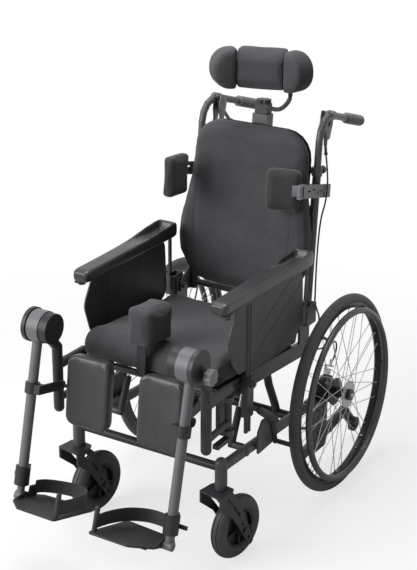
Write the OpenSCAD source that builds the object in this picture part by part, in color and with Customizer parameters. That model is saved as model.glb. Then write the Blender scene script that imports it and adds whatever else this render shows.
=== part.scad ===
// Tilt-in-space wheelchair with elevating leg rests, contoured back, headrest and pommel.
// Millimetres, +Z up. The sitter faces -Y and +X is the sitter's left.
// The origin lies on the floor under the middle of the chair; the rear axle is axle_y behind it.

/* [Rear wheels] */
// outside diameter of the rear tyre
wheel_d = 610; // [600:1:620]
// section width of the rear tyre
tyre_w = 32; // [28:1:34]
// distance between the two rear wheel centre planes at hub height
wheel_track = 604; // [600:1:620]
// lean of the wheel tops towards the sitter, in degrees
camber = 2; // [0:0.5:3]
// outside diameter of the push rim
pushrim_d = 535; // [520:1:540]
// diameter of the push rim tube
pushrim_tube_d = 19; // [17:1:21]
// spokes in each rear wheel
spoke_count = 36; // [24:4:36]

/* [Base frame] */
// distance between the centre lines of the side rails
frame_track = 480; // [470:1:490]
// distance from the caster stems to the rear axle
wheelbase = 592; // [580:1:605]
// diameter of the side rail tubes
rail_d = 30; // [28:1:32]
// diameter of the caster stem housings
housing_d = 35; // [33:1:38]
// height of the side rail centre line where it meets the caster stem
rail_front_z = 307; // [304:1:310]
// fall of the side rails towards the rear, in degrees
rail_fall = 3; // [2:0.5:4]

/* [Casters] */
// outside diameter of the caster wheel
caster_d = 190; // [180:1:192]
// width of the caster tyre
caster_w = 44; // [38:1:46]
// distance of the caster axle behind its stem
caster_trail = 64; // [58:1:68]
// swivel of both casters away from straight ahead, in degrees
caster_yaw = 9; // [0:1:20]

/* [Seat] */
// clear width between the seat rails
seat_rail_gap = 408; // [400:1:410]
// height of the seat rail section
seat_rail_h = 45; // [40:1:48]
// height of the seat rail tops above the floor at the rear axle
seat_z = 477; // [474:1:480]
// fall of the seat towards the rear, in degrees
seat_rake = 5; // [4:0.5:6]
// width of the seat cushion
seat_cushion_w = 436; // [420:1:440]
// length of the seat cushion
seat_cushion_l = 476; // [466:1:480]
// thickness of the seat cushion
seat_cushion_t = 80; // [70:1:90]

/* [Tilt and recline pivots] */
// distance of the tilt pivot ahead of the rear axle
tilt_y = 262; // [258:1:266]
// height of the tilt pivot
tilt_z = 475; // [474:1:477]
// distance of the recline pivot ahead of the rear axle
recline_y = 82; // [80:1:85]
// height of the recline pivot
recline_z = 572; // [568:1:574]

/* [Back] */
// rearward lean of the back, in degrees
back_lean = 5; // [4:0.5:7]
// distance between the two back canes
cane_track = 396; // [392:1:398]
// diameter of the back canes
cane_d = 25; // [24:1:27]
// full width of the back cushion at its wings
back_cushion_w = 452; // [430:1:456]
// height of the back cushion
back_cushion_h = 546; // [530:1:550]
// thickness of the back cushion
back_cushion_t = 40; // [36:1:42]

/* [Leg rests] */
// distance between the centre lines of the two legs
leg_track = 490; // [486:1:494]
// distance of the knee joint ahead of the rear axle
knee_y = 748; // [745:1:760]
// height of the knee joint
knee_z = 675; // [660:1:680]
// forward slope of the legs from the vertical, in degrees
leg_angle = 13.75; // [12:0.25:15]
// distance from the knee joint to the foot pivot along the leg
leg_len = 484; // [470:1:490]
// diameter of the leg tubes
leg_tube_d = 28; // [26:1:30]
// upward slope of the footplates to their front edge, in degrees
foot_pitch = 18; // [14:1:22]
// width of a calf pad
calf_pad_w = 145; // [130:1:150]
// height of a calf pad
calf_pad_h = 203; // [180:1:210]

/* [Arm rests] */
// height of the top of the arm pads above the floor
arm_top_z = 785; // [775:1:795]
// length of an arm pad
arm_pad_l = 468; // [450:1:470]
// distance between the centre lines of the arm posts
arm_track = 472; // [470:1:476]

/* [Headrest and push handles] */
// height of the middle of the headrest above the floor
head_z = 1276; // [1250:1:1280]
// width of the headrest over its side wings
head_w = 286; // [270:1:290]
// height of the headrest pads
head_h = 118; // [105:1:122]
// length of a push grip
grip_l = 125; // [110:1:130]
// diameter of a push grip
grip_d = 33; // [31:1:36]

/* [Hidden] */

$fn = 48;
fine = 96;
soft_fn = 32;

// shared clearances
overrun = 1;
run_fit = 0.1;
seat_gap = 0.3;
side_gap = 0.5;

// finishes
frame_grey = "#3c3d40";
frame_black = "#1b1b1d";
light_grey = "#77787c";
steel = "#b9bbbf";
tyre_grey = "#39393b";
soft_black = "#2b2b2d";
cover_grey = "#4a4a4d";
disc_grey = "#8b8c90";

// rear wheel
wheel_z = (wheel_d / 2 - tyre_w / 2) * cos(camber) + tyre_w / 2;
wheel_x = wheel_track / 2;
rim_w = 24;
rim_edge_r = wheel_d / 2 - tyre_w * 0.75;
rim_depth = 19;
rim_in_r = rim_edge_r - rim_depth;
rim_lip = 2.4;
rim_bed_drop = 4;
spoke_d = 2.2;
spoke_bite = 2;
spoke_rim_h = 3;
spoke_weave = 2;
nipple_d = 5;
nipple_l = 9;
hub_disc_r = 42;
hub_disc_t = 3;
hub_disc_h = 27;
hub_hole_r = hub_disc_r - hub_disc_t;
hub_in_h = -14;
drum_r = 46;
drum_h0 = -58;
drum_h1 = -42;
shell_r = 30;
shell_h1 = -16;
barrel_r = 15;
barrel_h1 = 34;
cap_r = 17;
cap_t = 5;
notch_count = 18;
notch_d = 5;
axle_d = 12.7;
pushrim_h = 31;
pushrim_r = pushrim_d / 2 - pushrim_tube_d / 2;
standoff_count = 6;
standoff_d = 9;

// base frame
rail_x = frame_track / 2;
rail_slope = tan(rail_fall);
housing_z0 = 243;
housing_z1 = 320;
stem_d = 16;
stem_z1 = 306;
rail_rear_y = 54;
tab_l = 48;
tab_h = 38;
tab_t = 8;
plate_t = 8;
plate_x = rail_x - plate_t;
front_tube_d = 25;
rear_tube_d = 28;
rear_tube_y = 185;
upright_d = 24;
upright_x = 188;
joint_share = 1.02;
pivot_boss_d = 44;
pivot_boss_w = 16;
pivot_pin_d = 16;
hole_d = 9.5;
hole_pitch = 25;
hole_rows = 6;
hole_cols = 2;
anti_tube_d = 32;
anti_wall = 3;
anti_x = plate_x - anti_tube_d / 2 + overrun;
anti_front = [-79, 98];
anti_rear = [105, 119];

// tilt springs
tilt_eye_r = 108;
tilt_eye_angle = 167;
tilt_range = 20;
strut_x = 190;
strut_d = 21;
strut_eye_w = 13;
strut_eye_d = 22;
strut_pin_d = 10;
strut_len = 215;
strut_tube_l = 108;
strut_rod_d = 10;
strut_sag = tilt_eye_r * (1 - cos(tilt_range / 2));

// seat
rail_in_x = seat_rail_gap / 2;
seat_rail_t = 14;
rail_out_x = rail_in_x + seat_rail_t;
seat_front_y = 575;
seat_rear_y = 62;
groove_d = 3;
groove_h = 10;
crossbar_d = 20;
pan_t = 3;
cushion_front_y = 597;
upright_plate_l = 62;
socket_w = 25;
socket_l = 55;
socket_h = 62;
socket_wall = 3;
socket_x = 234;
socket_y = 94;
washer_d = 26;
post_x = 240;
post_y = 557;
post_d = 20;
lug_d = 32;
lug_t = 16;
lug_top_z = 502;
lug_low_z = 401;
receiver_z0 = 400;
receiver_z1 = 520;
receiver_wall = 3;
arm_post_y = 446;
arm_rod_d = 12;
arm_rod_gap = 15;
arm_web_t = 6;
arm_x = arm_track / 2;
knob_d = 24;
knob_t = 12;

// recline spring
recline_r = 100;
recline_eye_angle = -75;
recline_range = 30;
recline_tube_d = 22;
recline_rod_d = 10;
recline_eye_w = 12;
recline_eye_d = 24;
recline_pin_d = 10;
recline_sag = recline_r * (1 - cos(recline_range / 2));
recline_bar_y = 300;
recline_tube_rear_y = 122;

// back
cane_x = cane_track / 2;
cane_y = 50;
cane_wall = 1.8;
cane_top = 432;
cane_low = -14;
hinge_t = 6;
hinge_gap = 0.5;
hinge_pin_d = 12;
pommel_w = 72;
pommel_l = 125;
pommel_h = 128;
pommel_front_y = 630;
pommel_lift = 1;
pommel_bar_w = 34;
pommel_bar_t = 6;
pommel_drop = 1;
pommel_bar_l = 170;
shell_t = 4;
back_front_y = -10;
shell_y = back_front_y + back_cushion_t + seat_gap;
shell_z0 = 34;
bracket_h = 26;
bracket_w = 20;
cross_low_z = -22;
cross_high_z = 420;
cross_mid_z = 190;

// legs
knee_inset = 7;
leg_x = leg_track / 2;
knee_x = leg_x - knee_inset;
drum_knee_r = 45;
drum_knee_w = 37;
cap_knee_w = 26;
disc_knee_r = 48;
disc_knee_w = 12;
knee_gap = 3;
knee_pin_d = 14;
leg_wall = 2.8;
collar_l = 52;
collar_d = 42;
post_tube_d = leg_tube_d - 2 * leg_wall - 2 * run_fit;
hanger_front_y = 676;
hanger_tube_d = 30;
hanger_top_d = 28;
hanger_low_z = 400;
hanger_top_z = 529;
hanger_bend_z = 585;
foot_pivot_d = 26;
foot_pin_d = 10;
foot_t = 6;
strap_w = 38;
strap_t = 3;
calf_x0 = 46;
calf_t = 44;

// places a shape drawn about the rear axle into the chair's own frame
module from_axle() {
  translate([0, axle_y, 0]) children();
}

// a left-hand shape drawn again on the sitter's right
module other_side() {
  mirror([1, 0, 0]) children();
}

module both_sides() {
  children();
  mirror([1, 0, 0]) children();
}

// cylinder between two points
module rod(a, b, d) {
  v = b - a;
  len = norm(v);
  translate(a) rotate([0, acos(v[2] / len), atan2(v[1], v[0])]) cylinder(d = d, h = len);
}

// rod with rounded ends, from a to b between the centres of its ends
module capsule(a, b, d) {
  v = b - a;
  translate(a) rotate([0, acos(v[2] / norm(v)), atan2(v[1], v[0])]) rotate_extrude() polygon(concat(
    [[0, -d / 2]], arc([0, 0], d / 2, -80, 0, 7), arc([0, norm(v)], d / 2, 0, 80, 7), [[0, norm(v) + d / 2]]));
}

// cylinders along the three axes
module bar_x(x0, x1, y, z, d) {
  translate([x0, y, z]) rotate([0, 90, 0]) cylinder(d = d, h = x1 - x0);
}

module bar_y(y0, y1, x, z, d) {
  translate([x, y1, z]) rotate([90, 0, 0]) cylinder(d = d, h = y1 - y0);
}

module bar_z(z0, z1, x, y, d) {
  translate([x, y, z0]) cylinder(d = d, h = z1 - z0);
}

// block between two opposite corners
module block(a, b) {
  translate(a) cube(b - a);
}

// plate of thickness t from x outwards, with its outline in y and z
module plate_yz(x, t, outline) {
  translate([x, 0, 0]) rotate([90, 0, 90]) linear_extrude(t) polygon(outline);
}

// plate of thickness t from z upwards, with its outline in x and y
module plate_xy(z, t, outline) {
  translate([0, 0, z]) linear_extrude(t) polygon(outline);
}

function arc(c, r, a0, a1, n = 8) = [for (i = [0 : n]) c + r * [cos(a0 + (a1 - a0) * i / n), sin(a0 + (a1 - a0) * i / n)]];
function unit(v) = v / norm(v);

// outline with each corner p[i] rounded by radius r[i]
function rounded(p, r, n = 5) = [
  for (i = [0 : len(p) - 1])
    let (a = p[(i + len(p) - 1) % len(p)], b = p[i], c = p[(i + 1) % len(p)],
      u = unit(a - b), v = unit(c - b), half = acos(u * v) / 2,
      ri = is_list(r) ? r[i] : r, m = b + unit(u + v) * ri / sin(half),
      s = b + u * ri / tan(half), e = b + v * ri / tan(half),
      a0 = atan2(s[1] - m[1], s[0] - m[0]), a1 = atan2(e[1] - m[1], e[0] - m[0]),
      turn = a1 - a0 > 180 ? a1 - a0 - 360 : (a1 - a0 < -180 ? a1 - a0 + 360 : a1 - a0))
    each ri == 0 ? [b] : [for (k = [0 : n]) m + ri * [cos(a0 + turn * k / n), sin(a0 + turn * k / n)]]];

// points of a bend of radius r at b, on the way from a to c
function bend_points(a, b, c, r, n = 4) =
  let (u = unit(a - b), v = unit(c - b), half = acos(u * v) / 2, m = b + unit(u + v) * r / sin(half),
    e = unit(b + u * r / tan(half) - m))
  concat([a], [for (i = [0 : n]) let (t = (180 - 2 * half) * i / n) m + r * (e * cos(t) - u * sin(t))], [c]);

// straight tubes through a row of points, with a ball k times as thick at each inner point
module jointed(p, d, k) {
  for (i = [0 : len(p) - 2]) rod(p[i], p[i + 1], d);
  for (i = [1 : len(p) - 2]) translate(p[i]) sphere(d = d * k);
}

// closed skin through a row of rings that hold equal numbers of points; rings drawn in plan run up Z
module loft(rings, plan = false) {
  m = len(rings);
  n = len(rings[0]);
  points = [for (ring = rings) for (k = [0 : n - 1]) ring[plan ? n - 1 - k : k]];
  polyhedron(points, concat(
    [[for (k = [n - 1 : -1 : 0]) k]],
    [for (i = [0 : m - 2]) for (k = [0 : n - 1])
      each [[i * n + k, i * n + (k + 1) % n, (i + 1) * n + (k + 1) % n],
        [i * n + k, (i + 1) * n + (k + 1) % n, (i + 1) * n + k]]],
    [[for (k = [0 : n - 1]) (m - 1) * n + k]]));
}

// ring of a soft block: half width w, from z0 to z1, corner radius r, top raised by crown in the middle
function soft_ring(w, z0, z1, r, crown = 0, n = 4) = [
  for (q = rounded([[-w, z0], [w, z0], [w, z1], [-w, z1]], r, n))
    [q[0], q[1] + (q[1] > (z0 + z1) / 2 ? crown * (1 - pow(q[0] / w, 2)) : 0)]];

// tube swept through a list of points, for cables
function side_of(t) = unit(abs(t[2]) < 0.9 ? cross(t, [0, 0, 1]) : cross(t, [1, 0, 0]));
module swept(p, d, sides = 8) {
  n = len(p);
  tangent = [for (i = [0 : n - 1]) unit(p[min(i + 1, n - 1)] - p[max(i - 1, 0)])];
  loft([for (i = [0 : n - 1]) let (u = side_of(tangent[i]), v = cross(tangent[i], u))
    [for (k = [0 : sides - 1]) p[i] + d / 2 * (u * cos(360 * k / sides) - v * sin(360 * k / sides))]]);
}

// smooth line through hand-chosen points
function spline(p, steps) = [
  for (i = [0 : len(p) - 2]) let (a = p[max(i - 1, 0)], b = p[i], c = p[i + 1], e = p[min(i + 2, len(p) - 1)])
    for (k = [0 : steps - 1]) let (t = k / steps)
      b + (c - a) * t / 2 + (2 * a - 5 * b + 4 * c - e) * t * t / 2 + (3 * b - a - 3 * c + e) * t * t * t / 2,
  p[len(p) - 1]];

// local frames
module at_wheel() {
  translate([wheel_x, 0, wheel_z]) rotate([0, -camber, 0]) rotate([0, 90, 0]) children();
}

module seat_plane() {
  translate([0, 0, seat_z]) rotate([-seat_rake, 0, 0]) children();
}

module back_plane() {
  translate([0, -recline_y, recline_z]) rotate([-back_lean, 0, 0]) children();
}

module leg_plane() {
  translate([0, -knee_y, knee_z]) rotate([-leg_angle, 0, 0]) children();
}

// rear wheels; the shapes turn about Z here and at_wheel lays that axis along the axle
module tyre() {
  color(tyre_grey) from_axle() at_wheel() rotate_extrude($fn = fine) difference() {
    translate([wheel_d / 2 - tyre_w / 2, 0]) circle(d = tyre_w, $fn = soft_fn);
    translate([0, -rim_w / 2 - seat_gap]) square([rim_edge_r + seat_gap, rim_w + 2 * seat_gap]);
  }
}

module tyre_left() {
  tyre();
}

module tyre_right() {
  other_side() tyre();
}

rim_outline = [
  [rim_edge_r, -rim_w / 2], [rim_edge_r, rim_lip - rim_w / 2], [rim_edge_r - rim_bed_drop, 2 * rim_lip - rim_w / 2],
  [rim_edge_r - rim_bed_drop, rim_w / 2 - 2 * rim_lip], [rim_edge_r, rim_w / 2 - rim_lip], [rim_edge_r, rim_w / 2],
  [rim_in_r + rim_depth / 4, rim_w / 2], [rim_in_r, rim_w / 4], [rim_in_r, -rim_w / 4],
  [rim_in_r + rim_depth / 4, -rim_w / 2]];

module spoke(a, turn, hub_r, hub_h, rim_h) {
  from_p = [hub_r * cos(a), hub_r * sin(a), hub_h];
  to_p = [(rim_in_r + spoke_bite) * cos(a + turn), (rim_in_r + spoke_bite) * sin(a + turn), rim_h];
  back = unit(from_p - to_p);
  rod(from_p, to_p, spoke_d, $fn = 8);
  rod(to_p, to_p + back * nipple_l, nipple_d, $fn = 8);
}

module hub() {
  difference() {
    union() {
      translate([0, 0, drum_h0]) cylinder(r = drum_r, h = drum_h1 - drum_h0);
      translate([0, 0, drum_h1 - overrun]) cylinder(r1 = drum_r * 0.8, r2 = shell_r, h = shell_h1 - drum_h1 + overrun);
      translate([0, 0, shell_h1 - overrun]) cylinder(r = barrel_r, h = barrel_h1 - shell_h1 + overrun);
      translate([0, 0, hub_in_h - hub_disc_t]) cylinder(r = hub_disc_r, h = hub_disc_t);
      translate([0, 0, barrel_h1 - overrun]) cylinder(r = cap_r, h = cap_t + overrun);
      difference() {
        translate([0, 0, hub_disc_h]) cylinder(r = hub_disc_r, h = hub_disc_t);
        for (i = [0 : notch_count - 1])
          rotate([0, 0, i * 360 / notch_count]) translate([hub_disc_r, 0, hub_disc_h - overrun])
            cylinder(d = notch_d, h = hub_disc_t + 2 * overrun, $fn = 16);
      }
    }
    translate([0, 0, drum_h0 - overrun])
      cylinder(d = axle_d + 2 * run_fit, h = barrel_h1 + cap_t - drum_h0 + 2 * overrun);
  }
}

module wheel_rim() {
  half = spoke_count / 2;
  color(frame_black) from_axle() at_wheel() {
    rotate_extrude($fn = fine) polygon(rim_outline);
    hub();
    for (i = [0 : half - 1]) {
      out_way = i % 2 == 0 ? 1 : -1;
      spoke(i * 360 / half, out_way * 65, hub_hole_r, hub_disc_h + hub_disc_t / 2 + out_way * spoke_weave / 2,
        spoke_rim_h);
      spoke((i + 0.5) * 360 / half, out_way * 65, hub_hole_r,
        hub_in_h - hub_disc_t / 2 + out_way * spoke_weave / 2, -spoke_rim_h);
    }
  }
}

module wheel_rim_left() {
  wheel_rim();
}

module wheel_rim_right() {
  other_side() wheel_rim();
}

module pushrim() {
  color(frame_grey) from_axle() at_wheel() {
    difference() {
      union() {
        rotate_extrude($fn = fine) translate([pushrim_r, pushrim_h]) circle(d = pushrim_tube_d, $fn = 24);
        for (i = [0 : standoff_count - 1])
          rotate([0, 0, (i + 0.5) * 360 / standoff_count])
            rod([rim_in_r + rim_depth / 2, 0, rim_w / 2 - overrun], [pushrim_r, 0, pushrim_h], standoff_d);
      }
      rotate_extrude($fn = fine) translate([rim_in_r, -rim_w / 2])
        square([rim_depth, rim_w + seat_gap / 2]);
    }
  }
}

module pushrim_left() {
  pushrim();
}

module pushrim_right() {
  other_side() pushrim();
}

// base frame
function rail_z(y) = rail_front_z - (y + wheelbase) * rail_slope;

strut_dir = [0, cos(tilt_eye_angle - tilt_range / 2 - 90), sin(tilt_eye_angle - tilt_range / 2 - 90)];
strut_top = [0, tilt_eye_r * cos(tilt_eye_angle) - tilt_y, tilt_eye_r * sin(tilt_eye_angle) + tilt_z];
strut_side = [0, -strut_dir[2], strut_dir[1]];
strut_eye = strut_top + strut_side * strut_sag / 2;
strut_low = strut_eye - strut_dir * strut_len;
upright_top = [upright_x, -tilt_y, tilt_z];
upright_foot = [upright_x, -rear_tube_y, rail_z(-rear_tube_y)];
upright_shares = [[0, 0], [0.29, 0.38], [0.82, 0.82], [1, 1]];
clamp_y = 383;
clamp_l = 92;
clamp_plate_t = 5;
clamp_x = rail_x + rail_d * 0.6;
clamp_z1 = 390;
parking_pivot = [-356, 358];
parking_pin_d = 10;
parking_t = 5;
plug_d = 17;
plug_t = 1.5;
plug_shares = [0.2, 0.29];

module side_frame() {
  difference() {
    union() {
      bar_z(housing_z0, housing_z1, rail_x, -wheelbase, housing_d);
      translate([rail_x, -wheelbase, housing_z1]) intersection() {
        sphere(d = housing_d);
        translate([0, 0, housing_d / 2]) cube(housing_d + overrun, center = true);
      }
      rod([rail_x, -wheelbase, rail_z(-wheelbase)], [rail_x, -rail_rear_y, rail_z(-rail_rear_y)], rail_d);
      // spring lug
      bar_x(strut_x + strut_eye_w / 2 + side_gap, rail_x, strut_low[1], strut_low[2], strut_eye_d);
      bar_x(strut_x - strut_eye_w / 2 - side_gap, rail_x, strut_low[1], strut_low[2], strut_pin_d);
      // tab that carries the axle plate
      plate_yz(plate_x + plate_t, tab_t, rounded([
        [-rail_rear_y - tab_l, rail_z(-rail_rear_y) - tab_h / 2], [-rail_rear_y, rail_z(-rail_rear_y) - tab_h / 2],
        [-rail_rear_y, rail_z(-rail_rear_y) + tab_h / 2], [-rail_rear_y - tab_l, rail_z(-rail_rear_y) + tab_h / 2]],
        tab_t / 2));
      // parking brake plate and its clamp round the rail
      bar_x(rail_x, clamp_x, -clamp_y, rail_z(-clamp_y), rail_d * 0.9);
      plate_yz(clamp_x, clamp_plate_t, rounded([
        [-clamp_y - clamp_l / 2, rail_z(-clamp_y) - rail_d * 0.6], [-clamp_y + clamp_l / 2, rail_z(-clamp_y) - rail_d * 0.5],
        [-clamp_y + clamp_l / 2, clamp_z1 - rail_d], [parking_pivot[0] + parking_pin_d, clamp_z1 - rail_d / 2],
        [-clamp_y - clamp_l / 4, clamp_z1 - rail_d / 2], [-clamp_y - clamp_l / 2, clamp_z1 - rail_d * 1.5]],
        clamp_plate_t));
      bar_x(clamp_x, clamp_x + clamp_plate_t + side_gap + parking_t, parking_pivot[0], parking_pivot[1], parking_pin_d);
      // plugs in the rail's outer side
      for (s = plug_shares)
        bar_x(rail_x, rail_x + rail_d / 2 + plug_t, (s - 1) * wheelbase, rail_z((s - 1) * wheelbase), plug_d);
    }
    bar_z(housing_z0 - overrun, stem_z1, rail_x, -wheelbase, stem_d + 2 * run_fit);
    // the rail ends flush with the inside of the axle plate tab
    block([plate_x - overrun - rail_d, -rail_rear_y - tab_l - side_gap, rail_z(-rail_rear_y) - tab_h],
      [plate_x + plate_t, -rail_rear_y + overrun, rail_z(-rail_rear_y) + tab_h]);
  }
}

module side_frames() {
  color(frame_grey) from_axle() both_sides() side_frame();
}

module frame_tubes() {
  color(frame_black) from_axle() difference() {
    union() {
      bar_x(-rail_x, rail_x, -wheelbase, rail_z(-wheelbase), front_tube_d);
      bar_x(-rail_x, rail_x, -rear_tube_y, rail_z(-rear_tube_y), rear_tube_d);
      both_sides() {
        jointed([for (s = upright_shares) upright_top + [0, (upright_foot[1] - upright_top[1]) * s[0],
          (upright_foot[2] - upright_top[2]) * s[1]]], upright_d, joint_share);
        bar_x(upright_x - pivot_boss_w / 2, upright_x + pivot_boss_w / 2, -tilt_y, tilt_z, pivot_boss_d);
      }
    }
    both_sides() {
      bar_z(housing_z0, housing_z1, rail_x, -wheelbase, housing_d + seat_gap);
      rod([rail_x, -wheelbase, rail_z(-wheelbase)], [rail_x, -rail_rear_y, rail_z(-rail_rear_y)], rail_d + seat_gap);
      bar_x(upright_x - pivot_boss_w / 2 - overrun - upright_d, rail_in_x, -tilt_y, tilt_z, pivot_pin_d + 2 * run_fit);
      for (x = [upright_x - pivot_boss_w / 2 - upright_d, upright_x + pivot_boss_w / 2])
        bar_x(x, x + upright_d, -tilt_y, tilt_z, pivot_boss_d + overrun);
    }
  }
}

plate_front_y = 102;
plate_half_l = 46;
plate_low_z = 92;
plate_top = 34;
plate_corner_r = 8;
brake_plate_t = 2;
brake_plate_h0 = drum_h0 - seat_gap - brake_plate_t;
anti_dir = unit([0, anti_rear[0] - anti_front[0], anti_rear[1] - anti_front[1]]);
anti_bore_d = anti_tube_d - 2 * anti_wall;
anti_start = [anti_x, anti_front[0], anti_front[1]];
anti_end = [anti_x, anti_rear[0], anti_rear[1]];

module axle_plate() {
  tab_z = rail_z(-rail_rear_y);
  difference() {
    union() {
      plate_yz(plate_x, plate_t, rounded([
        [-plate_front_y, tab_z - tab_h / 2], [-plate_half_l, tab_z - tab_h], [-plate_half_l, plate_low_z],
        [plate_half_l, plate_low_z], [plate_half_l, wheel_z + plate_top * 0.7], [plate_half_l / 2, wheel_z + plate_top],
        [-plate_half_l, wheel_z + plate_top], [-plate_half_l - plate_corner_r, tab_z + tab_h / 2],
        [-plate_front_y, tab_z + tab_h / 2]], plate_corner_r * 0.9));
      rod(anti_start, anti_end, anti_tube_d);
      rod(anti_end - anti_dir * anti_wall * 2, anti_end, anti_tube_d + anti_wall);
    }
    at_wheel() translate([0, 0, -wheel_x]) cylinder(d = axle_d + 2 * run_fit, h = wheel_x);
    for (i = [0 : hole_rows - 1])
      for (j = [0 : hole_cols - 1])
        bar_x(plate_x - overrun, plate_x + plate_t + overrun, (j - (hole_cols - 1) / 2) * hole_pitch * 1.2,
          plate_low_z + anti_tube_d * 1.3 + i * hole_pitch, hole_d);
    rod(anti_start + anti_dir * plate_t, anti_end + anti_dir * overrun, anti_bore_d);
  }
}

module axle_plates() {
  color(frame_grey) from_axle() both_sides() axle_plate();
}

axle_in_h = -92;
axle_button = 3;
brake_arm_w = 16;
brake_arm_t = 5;
brake_arm_r = 76;
cable_stop_d = 9;
cable_stop_l = 22;

module wheel_axle() {
  at_wheel() {
    translate([0, 0, axle_in_h]) cylinder(d = axle_d, h = barrel_h1 + cap_t + axle_button - axle_in_h);
    translate([0, 0, axle_in_h]) cylinder(d = axle_d * 1.5, h = plate_t);
    translate([0, 0, brake_plate_h0]) cylinder(r = drum_r - seat_gap, h = drum_h0 - seat_gap - brake_plate_h0);
    // arm that works the brake shoes, and the stop of its cable
    rotate([0, 0, 160]) {
      translate([axle_d, -brake_arm_w / 2, brake_plate_h0])
        cube([brake_arm_r - axle_d, brake_arm_w, drum_h0 - seat_gap * 3 - brake_plate_h0]);
      translate([drum_r + side_gap * 2, -brake_arm_w / 2, brake_plate_h0]) cube([brake_arm_w, brake_arm_w, brake_arm_w]);
      translate([brake_arm_r - brake_arm_t, -brake_arm_w / 2, brake_plate_h0]) cube([brake_arm_t, brake_arm_w, brake_arm_w * 1.5]);
      translate([brake_arm_r - cable_stop_d / 2, 0, brake_plate_h0 + brake_arm_w]) rotate([0, 90, 0])
        cylinder(d = cable_stop_d, h = cable_stop_l);
    }
  }
}

module wheel_axles() {
  color(steel) from_axle() both_sides() wheel_axle();
}

// tilt springs
module tilt_cylinder() {
  eye_x = strut_eye_w / 2;
  p = strut_low + [strut_x, 0, 0];
  difference() {
    union() {
      bar_x(strut_x - eye_x, strut_x + eye_x, strut_low[1], strut_low[2], strut_eye_d);
      rod(p, p + strut_dir * strut_tube_l, strut_d);
    }
    for (x = [strut_x - eye_x - strut_d, strut_x + eye_x])
      bar_x(x, x + strut_d, strut_low[1], strut_low[2], strut_eye_d + overrun);
    bar_x(strut_x - strut_d, strut_x + strut_d, strut_low[1], strut_low[2], strut_pin_d + 2 * run_fit);
    rod(p + strut_dir * strut_eye_d, p + strut_dir * (strut_tube_l + overrun), strut_rod_d + 2 * run_fit);
  }
}

module tilt_cylinders() {
  color(frame_black) from_axle() both_sides() tilt_cylinder();
}

module tilt_rod() {
  p = strut_eye + [strut_x, 0, 0];
  difference() {
    union() {
      bar_x(strut_x - strut_eye_w / 2, strut_x + strut_eye_w / 2, p[1], p[2], strut_eye_d);
      rod(p - strut_dir * (strut_len - strut_tube_l * 0.5), p, strut_rod_d);
    }
    bar_x(strut_x - strut_eye_w, strut_x + strut_eye_w, p[1], p[2], strut_pin_d + strut_sag + 2 * side_gap);
  }
}

module tilt_rods() {
  color(steel) from_axle() both_sides() tilt_rod();
}

// seat
function rail_top(y) = seat_z - y * tan(seat_rake);
recline_eye = [0, recline_r * cos(recline_eye_angle) - recline_y, recline_r * sin(recline_eye_angle) + recline_z];
recline_line_z = recline_eye[2] - recline_sag / 2;
drop_w = 36;
drop_y = 530;

module hanger_lug(z) {
  difference() {
    union() {
      bar_z(z - lug_t / 2, z + lug_t / 2, post_x, -post_y, lug_d);
      block([rail_out_x - seat_rail_t / 2, -post_y - lug_d / 2, z - lug_t / 2], [post_x, -post_y + lug_d / 2, z + lug_t / 2]);
    }
    bar_z(z - lug_t, z + lug_t, post_x, -post_y, post_d + 2 * run_fit);
  }
}

module arm_receiver() {
  wx = arm_rod_d / 2 + side_gap;
  wy = arm_rod_gap / 2 + arm_rod_d / 2 + side_gap;
  difference() {
    union() {
      block([arm_x - wx - receiver_wall, -arm_post_y - wy - receiver_wall, receiver_z0],
        [arm_x + wx + receiver_wall, -arm_post_y + wy + receiver_wall, receiver_z1]);
      block([rail_out_x - overrun, -arm_post_y - wy, rail_top(-arm_post_y) - seat_rail_h],
        [arm_x - wx, -arm_post_y + wy, rail_top(-arm_post_y) - seat_rail_h * 0.2]);
      bar_x(arm_x + wx, arm_x + wx + receiver_wall + knob_t, -arm_post_y, receiver_z1 - knob_d * 0.7, knob_d);
      bar_x(arm_x + wx, arm_x + wx + receiver_wall + knob_t * 1.3, -arm_post_y, receiver_z1 - knob_d * 0.7, knob_d / 2);
    }
    block([arm_x - wx, -arm_post_y - wy, receiver_z0 - overrun], [arm_x + wx, -arm_post_y + wy, receiver_z1 + overrun]);
  }
}

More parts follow.
